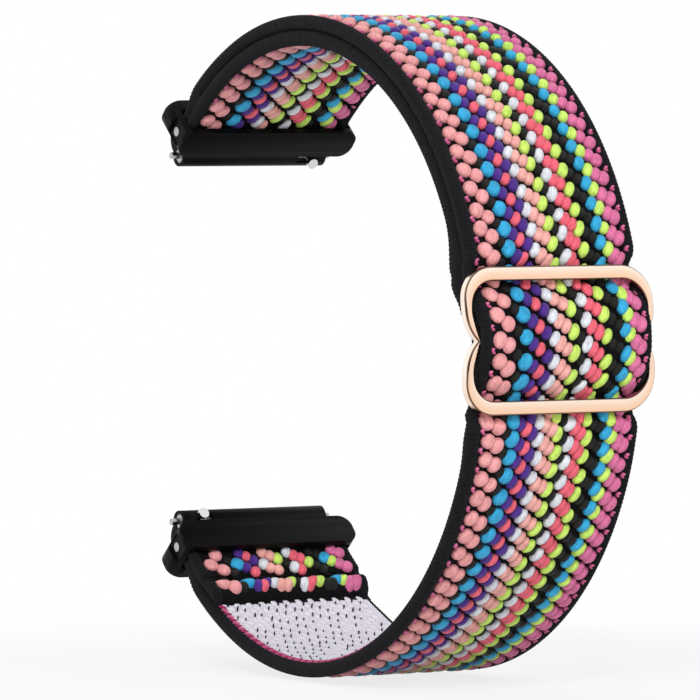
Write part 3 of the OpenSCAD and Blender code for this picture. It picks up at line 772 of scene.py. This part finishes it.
def tail_rows(row):
    """Rows of the folded end. No puff sits on the seam's crease or on the cut edge."""
    angles = np.interp(row, TAIL_ROWS, TAIL_ANGLES)
    last = -TAIL_END - LAST_ROW
    angles = np.where((angles > last) & (angles < last + LAST_ROW_REACH), last, angles)
    off = angles - CREASE_A
    return np.where(np.abs(off) < BESIDE_CREASE, CREASE_A + BESIDE_CREASE * np.where(off < 0, -1, 1), angles)


turn_piece("upper_turn_strap", 1, inner_rows, 51)
turn_piece("lower_turn_strap", -1, tail_rows, 61)

# %% [markdown]
# ## Folded tail
# The end of the webbing comes back round the lower bar and is sewn down on the wrist side. The seam
# pulls a crease across it, so its puffs swell on both sides of the seam and the cut end is rounded.
# A few sums on the radius do what a cloth solver would do here, and give the same result each time.

# %% Folded tail
CREASE_DEPTH, CREASE_HALF, SWELL, SWELL_AT = 0.7, 0.6, 0.1, 2.2
TAIL_SKEW, TAIL_DROP, TAIL_ROUND, TAIL_MARGIN = 0.06, 2.1, 1.4, 0.7


def tail_radius(angle, y=0.0):
    """Wrist face of the folded tail, with the crease and the rounded end, which was cut a little askew."""
    angle = np.asarray(angle, float)
    seam = np.radians(angle - CREASE_A) * INNER_R / CREASE_HALF
    end = np.radians(angle + TAIL_END + TAIL_SKEW * y) * INNER_R / TAIL_ROUND
    rounding = TAIL_DROP * (1 - np.sqrt(1 - np.clip(1 + end, 0, 1) ** 2))
    swell = SWELL * np.exp(-((np.abs(seam) - SWELL_AT) ** 2))
    return wrist_radius(angle) + CREASE_DEPTH * np.exp(-seam ** 2) + rounding - swell


def tail_top(angle, y=0.0):
    return np.full_like(angle, MIDDLE_R)


tail = Mesh("fold_tail_strap", [*cloths, *yarns.values()])
sweep(tail, TURNED, tail_top, tail_radius, even(-TAPER_FROM, TAIL_MARGIN - TAIL_END), HIDDEN)
lay_braid(tail, tail_rows, tail_radius, -1, -TAPER_FROM, -TAIL_END - TAIL_MARGIN, height=0.7, seed=71,
          first=len(cloths), size=(1.15, 1.25))
strips[tail.name] = tail.build()

# %% [markdown]
# ## Wrapped end
# The other end of the webbing is thinned and wrapped round the slider's centre bar, then sewn to
# itself. From outside only its wrist face shows, so it is one strip that starts thin over the bar
# and swells to the inner layer's thickness.

# %% Wrapped end
WRAP_INNER_R, WRAP_THIN, WRAP_MERGE, WRAP_ROUNDING = 36.6, 0.45, 2.4, 0.3
SEAM_S, SEAM_HALF, SEAM_DEPTH, WRAP_PUFFS_FROM = 8.3, 0.7, 0.4, 2.2


def wrap_end(angle):
    """How much the rounded end of the wrap takes off each face."""
    to_go = WRAP_ROUNDING - np.clip(along(angle) - WRAP_FROM_S, 0, WRAP_ROUNDING)
    return WRAP_ROUNDING - np.sqrt(np.maximum(WRAP_ROUNDING ** 2 - to_go ** 2, 0))


def wrap_full(angle):
    """Goes from 0 over the bar to 1 where the wrap has the layer's full thickness."""
    return eased((along(angle) - CENTRE_HALF) / WRAP_MERGE)


def wrap_inner(angle, y=0.0):
    """Wrist face, thin over the bar and pressed in by the seam."""
    thin = WRAP_INNER_R + wrap_end(angle)
    seam = bell(along(angle), SEAM_S, SEAM_HALF, SEAM_DEPTH)
    return thin + (wrist_radius(angle) - thin) * wrap_full(angle) + seam


def wrap_outer(angle, y=0.0):
    """Outer side: the rims reach the threaded webbing, the middle is only as thick as the layer."""
    rim = under_radius(angle, y) + LAP - wrap_end(angle)
    middle = wrap_inner(angle) + WRAP_THIN + (LAYER - WRAP_THIN) * wrap_full(angle)
    return np.where(np.abs(y) < FIELD_HALF, np.minimum(rim, middle), rim)


wrap = Mesh("bar_wrap_strap", [*cloths, *yarns.values()])
sweep(wrap, TURNED, wrap_outer, wrap_inner, even(wrap_from, section_to), HIDDEN)
lay_braid(wrap, inner_rows, wrap_inner, -1, SLIDER_A + WRAP_PUFFS_FROM, section_to, height=0.55, seed=81,
          first=len(cloths))
strips[wrap.name] = wrap.build()

# %% [markdown]
# ## Sewing
# Both seams are rows of dark stitches, each a short thread that sinks in at its ends. A small puff
# already has that form, so the stitches are laid like the braid.

# %% Stitches
STITCH_REACH, STITCH_PITCH, STITCH_SHAKE = 9.6, 1.6, 0.06
STITCH_LONG, STITCH_WIDE, STITCH_HIGH, STITCH_LIFT, STITCH_TILT = 1.25, 0.32, 0.16, 0.1, 6


def stitches(name, angle, radius, seed):
    mesh = Mesh(name, [thread_cloth])
    ys = np.arange(-STITCH_REACH, STITCH_REACH + 0.1, STITCH_PITCH)
    shake = np.random.default_rng(seed).normal(0, STITCH_SHAKE, (2, len(ys)))
    lay_puffs(mesh, SMALL_PUFF, radius, -1, -1, angle + shake[0], ys + shake[1], STITCH_LONG, STITCH_WIDE,
              STITCH_HIGH, STITCH_TILT, np.zeros(len(ys), int), lift=STITCH_LIFT, seed=seed)
    return mesh.build()


SEAM_A = SLIDER_A + math.degrees(SEAM_S / OUTER_R)
sewing = {
    "fold_seam": stitches("fold_seam", CREASE_A, tail_radius, 3),
    "wrap_seam": stitches("wrap_seam", SEAM_A, wrap_inner, 4),
}

# %% [markdown]
# ## Knitted back
# On the wrist side the single webbing shows a pale knit of small flat loops, with dark ticks of the
# ground yarn in slanting rows. A twisted pink thread runs along one border. An image of a knit
# could be wrapped on it, but flat small puffs in a brick pattern catch the light like real loops.


# %% Knitted back
def arc(length):
    """Degrees that a length takes up between the two layers."""
    return math.degrees(length / MIDDLE_R)


LOOP_PITCH, LOOP_STEP, BACK_HALF = 0.86, arc(1.3), 9.46
TICK_SLANT, TICK_STEP, TICK_SHARE, TICK_LEAD = arc(0.62), arc(2.5), 0.8, 30
WHIP_Y, WHIP_STEP = -9.85, arc(0.72)


def knit_back(name, a_from, a_to, seed):
    mesh = Mesh(name, [knit_cloth, thread_cloth, yarns["magenta"], yarns["rose"]])
    rng = np.random.default_rng(seed)

    def lay(angles, places, wide, long, height, tilt, numbers, lift, more):
        lay_puffs(mesh, SMALL_PUFF, under_radius, -1, 1, angles, places, wide, long, height, tilt, numbers,
                  lift=lift, seed=seed + more)

    ys = np.arange(-BACK_HALF, BACK_HALF + 0.04, LOOP_PITCH)
    rows = np.arange(a_from + LOOP_STEP / 2, a_to, LOOP_STEP)
    angles, places = np.array([(row + (LOOP_STEP / 2 if i % 2 else 0), y) for row in rows
                               for i, y in enumerate(ys)]).T
    shake = rng.normal(0, 1, (3, len(angles)))
    lay(angles + 0.1 * shake[0], places + 0.03 * shake[1], 0.98, 1.5, 0.2, 12 + 4 * shake[2],
        np.zeros(len(angles), int), 0.1, 0)
    ticks = np.array([(row + TICK_SLANT * i, y + LOOP_PITCH / 2)
                      for row in np.arange(a_from - TICK_LEAD, a_to, TICK_STEP)
                      for i, y in enumerate(ys[:-1]) if a_from + 1 < row + TICK_SLANT * i < a_to - 0.5])
    angles, places = ticks[rng.random(len(ticks)) < TICK_SHARE].T
    shake = rng.normal(0, 1, (3, len(angles)))
    lay(angles + 0.3 * shake[0], places + 0.06 * shake[1], 0.2, 1.15 + 0.2 * shake[2], 0.2, -32,
        np.ones(len(angles), int), 0.2, 1)
    whip = np.arange(a_from + 0.5, a_to - 0.5, WHIP_STEP)
    lay(whip, np.full(len(whip), WHIP_Y), 1.1, 0.46, 0.3, -38, 2 + np.arange(len(whip)) % 2, 0.2, 2)
    return mesh.build()


strips["lower_back"] = knit_back("lower_back", -TAIL_END - 0.5, section_from, 91)
strips["threaded_back"] = knit_back("threaded_back", section_from, wrap_from, 95)

# %% [markdown]
# ## Border threads
# Between the rows a loop of magenta thread shows beside each border of the braid. Two small puffs
# at a slant to each other read as one twisted loop.

# %% Border threads
NEAR_BORDER, FAR_BORDER = (-9.75, -0.58, -0.1), (10.0, -6.1, 0.1)
HALF_LOOP = 0.13


def border_threads(name, rows, radius, out, a_from, a_to, seed):
    mesh = Mesh(name, [yarns["magenta"], yarns["pink"]])
    for y, offset, outward in (NEAR_BORDER, FAR_BORDER):
        for extra in (0, 1):
            angles = rows_between(rows, offset + HALF_LOOP * extra, a_from, a_to)
            places = y + outward * extra + drift(angles, y) * (out > 0)
            lay_puffs(mesh, SMALL_PUFF, radius, out, out, angles, places, 0.62, 0.4, 0.3, 35 - 60 * extra,
                      np.full(len(angles), extra), lift=-0.1, seed=seed + extra)
    strips[name] = mesh.build()


border_threads("lower_border", outer_rows, outer_radius, 1, -TAPER_FROM, section_from, 97)
border_threads("threaded_border", outer_rows, outer_radius, 1, section_from, section_to, 97)
border_threads("upper_border", outer_rows, outer_radius, 1, section_to, TAPER_FROM, 97)
border_threads("inner_border", inner_rows, wrist_radius, -1, section_to, TAPER_FROM, 97)

# %% [markdown]
# ## Slider
# The slider is a figure-of-eight of polished rose gold, bent to the loop. It could be a bevelled
# plate, but its edges are softly rounded and its face is slightly crowned, which draws the bright
# lines along it. So the frame is swept as a rounded section between an outer and an inner outline.
# The real one shows dark lines where its edges turn and paler metal on the upper side of each bar
# and on the outer walls, both from what it reflects. Here both are painted into its colour: the dark
# lines as painted reflection of dark surroundings, the paler metal as painted highlight. Marks kept in
# the strand attribute say where the material paints each.


# %% Metal materials
def metal(name, code, rough, grain, strength, pale=None, edge=None):
    """Polished metal. With a pale and an edge colour it also paints light: pale as a painted highlight and
    edge as a painted dark reflection, where the strand attribute says.
    """
    recipe = Recipe(name)
    spot = recipe.spot()
    fine = recipe.noise(spot, grain, 3.0)
    colour = recipe.mixed(recipe.noise(spot, 90.0, 2.0), paint(code, 0.94), paint(code, 1.04))
    if edge:
        # Painted light: Y of the marks paints the pale highlight colour, X paints the dark edge reflection
        # colour.
        marks = recipe.strand()
        colour = recipe.mixed(recipe.part(marks, "Y"), colour, paint(pale))
        colour = recipe.mixed(recipe.part(marks, "X") * 0.9, colour, paint(edge))
    return recipe.shade(Base_Color=colour, Metallic=1.0, Roughness=fine * 0.08 + (rough - 0.04),
                        Normal=recipe.bump(fine, strength, 0.00002))


# FFF2E4 is the frame's painted highlight colour; 5A3828 is its painted dark edge reflection colour.
rose_gold = metal("rose_gold", "FBCFAE", 0.14, 900.0, 0.05, "FFF2E4", "5A3828")
polished_steel = metal("polished_steel", "D9D9DC", 0.16, 1200.0, 0.05)
turned_steel = metal("turned_steel", "B9B9BD", 0.3, 1500.0, 0.15)
spring_wire = metal("spring_wire", "9C9CA2", 0.25, 1500.0, 0.1)

# %% Slider outlines
HALF_W, HALF_H, CORNER, WAIST_CORNER = 12.6, 8.3, 3.9, 4.8
BAR_W, RAIL_W, WAIST_FROM, WAIST_TO, OVERLAP = 1.62, 0.95, 10.3, 11.09, 1.3


def frame_outlines():
    """Outer and inner outline of the frame, point for point, all the way round."""
    start = -math.acos((WAIST_TO - HALF_W + WAIST_CORNER) / WAIST_CORNER)
    low, turn = np.linspace(start, 0, 12), np.linspace(0, np.pi / 2, 16)
    bar = np.linspace(HALF_W - CORNER, 0, 14)[1:]

    def arc_of(middle_y, middle_z, r, turns):
        return np.stack([middle_y + r * np.cos(turns), middle_z + r * np.sin(turns)], 1)

    def quarter(waist, inset, bar_inset):
        r = CORNER - RAIL_W if inset else CORNER
        notch = arc_of(HALF_W - WAIST_CORNER, WAIST_CORNER - OVERLAP, WAIST_CORNER - inset, low)
        corner = arc_of(HALF_W - CORNER, HALF_H - bar_inset - r, r, turn)
        straight = np.stack([bar, np.full(len(bar), HALF_H - bar_inset)], 1)
        return np.concatenate([[[waist, 0.0]], notch, corner, straight])

    whole = []
    for points in (quarter(WAIST_TO, 0.0, 0.0), quarter(WAIST_FROM, RAIL_W, BAR_W)):
        half = np.concatenate([points, points[-2::-1] * (-1, 1)])
        whole.append(np.concatenate([half, half[-2:0:-1] * (1, -1)]))
    return whole


# %% Slider frame
FRAME_INNER, FRAME_THICK, ROUNDING, CROWN, SUPPORT = 37.7, 1.1, 0.2, 0.09, 0.04
CROWN_PLACES = (0.6, 0.2, -0.2, -0.6)
CORNER_TURNS = 5
ROUND_LIMIT, FACE_FROM, WALL_FROM, PAINTED_EDGE_GAIN, PAINTED_HIGHLIGHT_POWER = 0.7, 0.9, 0.97, 1.6, 1.8


def ring_section():
    """Rounded section, point for point: place across from -1 to 1, place through from 0 to 1, the
    corner's turn, and how far a point lies past the corner on the flat beside it."""
    points = []
    for x, t, start in ((1, 1, 0), (-1, 1, 1), (-1, 0, 2), (1, 0, 3)):
        turns = (start + np.arange(CORNER_TURNS) / (CORNER_TURNS - 1)) * math.pi / 2
        points.append((x, t, turns[0], -SUPPORT))
        points += [(x, t, turn, 0) for turn in turns]
        points.append((x, t, turns[-1], SUPPORT))
        if start == 0:
            points += [(share, 1, math.pi / 2, 0) for share in CROWN_PLACES]
    return np.array(points)


def frame_form():
    """Points, marks and faces of the frame. The marks are X where the dark edge line is painted, as a
    painted reflection, and Y where a painted highlight makes the metal paler.
    """
    outer_line, inner_line = frame_outlines()
    middle_line, gap = (outer_line + inner_line) / 2, outer_line - inner_line
    half = np.linalg.norm(gap, axis=1)[:, None] / 2
    outward = gap / (2 * half)
    place, depth, turn, past = ring_section().T[:, None, :]
    rounding = np.minimum(ROUNDING, ROUND_LIMIT * half)
    across = place * (half - rounding) + rounding * np.cos(turn) - past * np.sin(turn)
    through = rounding + depth * (FRAME_THICK - 2 * rounding)
    through = through + rounding * np.sin(turn) + past * np.cos(turn)
    crown = CROWN * (1 - np.clip(across / half, -1, 1) ** 2)
    through = through + crown * (through > FACE_FROM * FRAME_THICK)
    flat_y = middle_line[:, :1] + outward[:, :1] * across
    flat_z = middle_line[:, 1:] + outward[:, 1:] * across
    radius = FRAME_INNER + through
    angle = SLIDER_A + np.degrees(np.arcsin(flat_z / radius))
    # Painted light: dark lines where the section's corners turn, and painted highlights on the upper side of
    # each bar and on the outer walls.
    painted_edge_line = np.clip(PAINTED_EDGE_GAIN * np.abs(np.sin(2 * turn)), 0, 1)
    upper_side = (1 + np.clip(outward[:, 1:] * across / half, -1, 1)) / 2
    outer_wall = np.abs(outward[:, :1]) * (across > WALL_FROM * half)
    pale = np.maximum(upper_side ** PAINTED_HIGHLIGHT_POWER, outer_wall)
    marks = np.stack([np.broadcast_to(painted_edge_line, radius.shape), pale, 0 * radius], -1)
    return on_loop(radius, angle, flat_y), marks, grid_faces(*radius.shape, closed=True)


ring = Mesh("slider_ring", [rose_gold])
frame_points, frame_marks, frame_faces = frame_form()
ring.add(frame_points, frame_marks, [frame_faces], [0])

# %% Slider centre bar
BAR_R, BAR_END, BAR_FULL, BAR_HALF, BAR_TIP_HALF, BAR_SQUARE = 37.425, 10.6, 10.54, 0.525, 0.46, 0.45


def bar_form():
    """Points and faces of the flattened rod under the webbing, its ends slightly smaller."""
    turn = np.linspace(0, 2 * np.pi, 32, endpoint=False)
    ys = np.concatenate([[-BAR_END], np.linspace(-BAR_FULL, BAR_FULL, 11), [BAR_END]])[:, None]
    half = np.interp(np.abs(ys), [BAR_FULL, BAR_END], [BAR_HALF, BAR_TIP_HALF])
    up, forward = [np.abs(wave) ** BAR_SQUARE * np.sign(wave) for wave in (np.cos(turn), np.sin(turn))]
    radius = BAR_R + half * up
    angle = SLIDER_A + np.degrees(CENTRE_HALF * forward / radius)
    rows, n = radius.shape
    caps = [np.arange(n)[None], ((rows - 1) * n + np.arange(n))[None, ::-1]]
    points = on_loop(radius, angle, np.broadcast_to(ys, radius.shape))
    return points, [grid_faces(rows, n)[:, [0, 3, 2, 1]], *caps]


bar_points, bar_faces = bar_form()
ring.add(bar_points, np.zeros_like(bar_points), bar_faces, [0, 0, 0])
slider_ring = ring.build()

# %% [markdown]
# ## Connectors and spring bars
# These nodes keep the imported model's shapes. Their sharp edges get a small bevel, because light
# catches a real edge, and they get their finishes: satin black coating, turned and polished steel.


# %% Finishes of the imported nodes
def satin(name, code, rough):
    recipe = Recipe(name)
    spot = recipe.spot()
    grain = recipe.noise(spot, 2600.0, 3.0, 0.6)
    broad = recipe.noise(spot, 130.0, 2.0)
    return recipe.shade(Base_Color=recipe.mixed(broad, paint(code, 0.8), paint(code, 1.25)),
                        Roughness=broad * 0.12 + (rough - 0.06), Specular_IOR_Level=0.06,
                        Normal=recipe.bump(grain, 0.12, 0.00003))


def soften(node, width):
    """Joins the node's faces and rounds its sharp edges a little."""
    weld = node.modifiers.new("weld", "WELD")
    weld.merge_threshold = 1e-6
    flats = node.modifiers.new("flats", "DECIMATE")
    flats.decimate_type, flats.angle_limit = "DISSOLVE", math.radians(0.5)
    rounded = node.modifiers.new("rounded", "BEVEL")
    rounded.width, rounded.segments = width * MM, 2
    rounded.limit_method, rounded.angle_limit = "ANGLE", math.radians(35)
    rounded.harden_normals = True


def dress(node, material):
    node.data.materials.clear()
    node.data.materials.append(material)


satin_black = satin("satin_black", "070708", 0.42)
for end in ("upper", "lower"):
    dress(nodes[end + "_housing"], satin_black)
    soften(nodes[end + "_housing"], 0.12)
    dress(nodes[end + "_release_knob"], polished_steel)
    for piece in ("_cross_bar", "_bar_tube", "_fixed_tip", "_plunger"):
        dress(nodes[end + piece], turned_steel)
    print("dressed the", end, "connector")

# %% [markdown]
# ## Springs
# The coil spring in each spring bar shortens when its release knob is pulled. A copy of the packed
# spring is made for each.

# %% Springs
springs = {}
for end, side in (("upper", 1), ("lower", -1)):
    packed = nodes[end + "_bar_spring"]
    coil_mesh = packed.data.copy()
    coil_mesh.transform(packed.matrix_world)
    coil = bpy.data.objects.new(end + "_coil", coil_mesh)
    scene.collection.objects.link(coil)
    dress(coil, spring_wire)
    ends = sorted(side * vertex.co.y for vertex in coil_mesh.vertices)
    springs[end] = (coil, side * ends[0], side * ends[-1])
    print(coil.name, "from", round(springs[end][1] / MM, 2), "to", round(springs[end][2] / MM, 2), "mm")

# %% [markdown]
# ## Light
# The object stands in plain soft light. The key lamp is high above the camera, a second one is low
# on the camera's left, a third on its right lights the strap's far edge, and a weak one hangs over
# the loop. They are kept out of reflections, where their squares would show on the slider.


# %% Lamps
def lamp(name, place, power, size):
    light = bpy.data.lights.new(name, "AREA")
    light.energy, light.size = power, size
    holder = bpy.data.objects.new(name, light)
    holder.visible_glossy = False
    scene.collection.objects.link(holder)
    holder.location = LOOP_MIDDLE + Vector(place)
    holder.rotation_euler = (LOOP_MIDDLE - holder.location).to_track_quat("-Z", "Y").to_euler()


lamp("key_lamp", (0.48, -0.36, 0.42), 3.2, 0.30)
lamp("side_lamp", (0.25, -0.70, 0.02), 2.3, 0.4)
lamp("far_lamp", (0.60, 0.40, 0.10), 1.4, 0.35)
lamp("top_lamp", (-0.2, 0.1, 0.7), 0.9, 0.5)
print("lamps:", len(bpy.data.lights))

# %% [markdown]
# ## What the metal reflects
# Polished metal needs something dark to reflect, or its edges vanish. Reflected rays see a white
# studio, a little darker downwards, with one dark card where the camera stands. The camera itself
# sees plain white, and everything else gets an even soft fill.

# %% Surroundings
CARD_FROM, CARD_FULL, CARD_TONE = 0.82, 0.93, 0.03
LOW, HIGH, LOW_TONE, HIGH_TONE = -0.6, 0.8, 0.94, 1.12
FILL = 0.40
world = bpy.data.worlds.new("studio")
scene.world = world
studio = Recipe("studio", world)
way = studio.spot("Generated")
facing = studio.vector("DOT_PRODUCT", way, tuple(to_camera.normalized()), out="Value")
card = studio.ranged(facing, CARD_FROM, CARD_FULL, 1.0, CARD_TONE, "SMOOTHSTEP")
height = studio.ranged(studio.part(way, "Z"), LOW, HIGH, LOW_TONE, HIGH_TONE)
seen, mirrored = studio.ray("Is Camera Ray"), studio.ray("Is Glossy Ray")
strength = seen + mirrored * card * height + (1 - seen - mirrored) * FILL
studio.shade(Color=(1, 1, 1, 1), Strength=strength)
scene.view_settings.view_transform = "Standard"
print("studio nodes:", len(studio.tree.nodes))

# %% [markdown]
# ## Floor
# The loop stands on a plain pale floor. To the camera and in reflections the floor is mostly a
# steady white, so that it runs into the white beyond, and the rest is ordinary shading, which keeps a
# soft shadow close to the strap. Away from the strap the white takes over.

# %% Floor
FLOOR_HALF, FLOOR_GAP, SHADOW_SHARE, SHADOW_REACH, SHADOW_CORE = 0.6, 0.4, 0.2, 0.11, 0.4
floor_z = cad_bounds[0][2] - FLOOR_GAP * MM
corners = [(-1, -1), (1, -1), (1, 1), (-1, 1)]
floor_mesh = bpy.data.meshes.new("floor")
floor_mesh.from_pydata([(x * FLOOR_HALF + LOOP_X * MM, y * FLOOR_HALF, floor_z) for x, y in corners],
                       [], [(0, 1, 2, 3)])
floor = bpy.data.objects.new("floor", floor_mesh)
scene.collection.objects.link(floor)
pale = Recipe("floor_pale")
ground_spot = pale.spot()
from_strap = pale.vector("DISTANCE", ground_spot, (LOOP_X * MM, 0, floor_z), out="Value")
near = pale.ranged(from_strap, SHADOW_REACH, SHADOW_CORE * SHADOW_REACH, 0.0, SHADOW_SHARE, "SMOOTHSTEP")
tone = pale.mixed(pale.noise(ground_spot, 40.0), paint("E9E9E9"), paint("F0F0F0"))
pale.shade(Base_Color=tone, Roughness=0.9, Specular_IOR_Level=0.1)
white = pale.add("ShaderNodeEmission", {}, {"Color": (1, 1, 1, 1), "Strength": 1.0})
share = (pale.ray("Is Camera Ray") + pale.ray("Is Glossy Ray")) * (1 - near)
both = pale.add("ShaderNodeMixShader", {}, {0: share, 1: Signal(pale, pale.shader.outputs[0]), 2: white})
pale.tree.links.new(both.socket, pale.tree.nodes["Material Output"].inputs["Surface"])
floor_mesh.materials.append(pale.material)
print("floor at", round(floor_z / MM, 2), "mm")

# %% [markdown]
# ## Bodies of the pieces
# Pieces that move with the slider or the band are parented to that body, and the imported nodes that
# the pieces stand for are hidden. The free runs of webbing lie between the band and the slider, and
# each spring between its connector and its release; here they only have their places baked into their
# meshes.


# %% Bodies of the pieces
def blend_point(angle):
    return tuple(on_loop(OUTER_R, np.array(float(angle)), 0.0))


for name, piece in strips.items():
    if name.startswith(("threaded", "bar_wrap")):
        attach(piece, "slider")
    elif "turn" in name or "tail" in name:
        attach(piece, "band")
    elif name.startswith("lower"):
        blend_point(-TAIL_FROM)
        blend_point(section_from)
        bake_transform(piece)
    else:
        blend_point(TAPER_FROM)
        blend_point(section_to)
        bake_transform(piece)
for piece, body in ((sewing["fold_seam"], "band"), (sewing["wrap_seam"], "slider")):
    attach(piece, body)
for end, (coil, fixed_y, moving_y) in springs.items():
    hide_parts(end + "_bar_spring")
    end + "_connector"
    end + "_release"
    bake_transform(coil)
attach(slider_ring, "slider")

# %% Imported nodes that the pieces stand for
STANDS_FOR = {
    "lower_strap": ["lower_webbing", "lower_sliding_run"],
    "upper_strap": ["upper_webbing", "upper_sliding_run"],
    "inner_strap": ["inner_webbing", "inner_sliding_run"],
    "threaded_strap": ["threaded_webbing"],
    "upper_turn_strap": ["upper_turn"],
    "lower_turn_strap": ["lower_turn"],
    "fold_tail_strap": ["fold_tail"],
    "bar_wrap_strap": ["bar_wrap"],
}
for name, stood_for in STANDS_FOR.items():
    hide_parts(*stood_for)
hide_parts("fold_stitching")
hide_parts("bar_wrap_stitching")
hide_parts("slider_frame")
print("modelled pieces:", len(strips) + len(sewing) + len(springs) + 1)
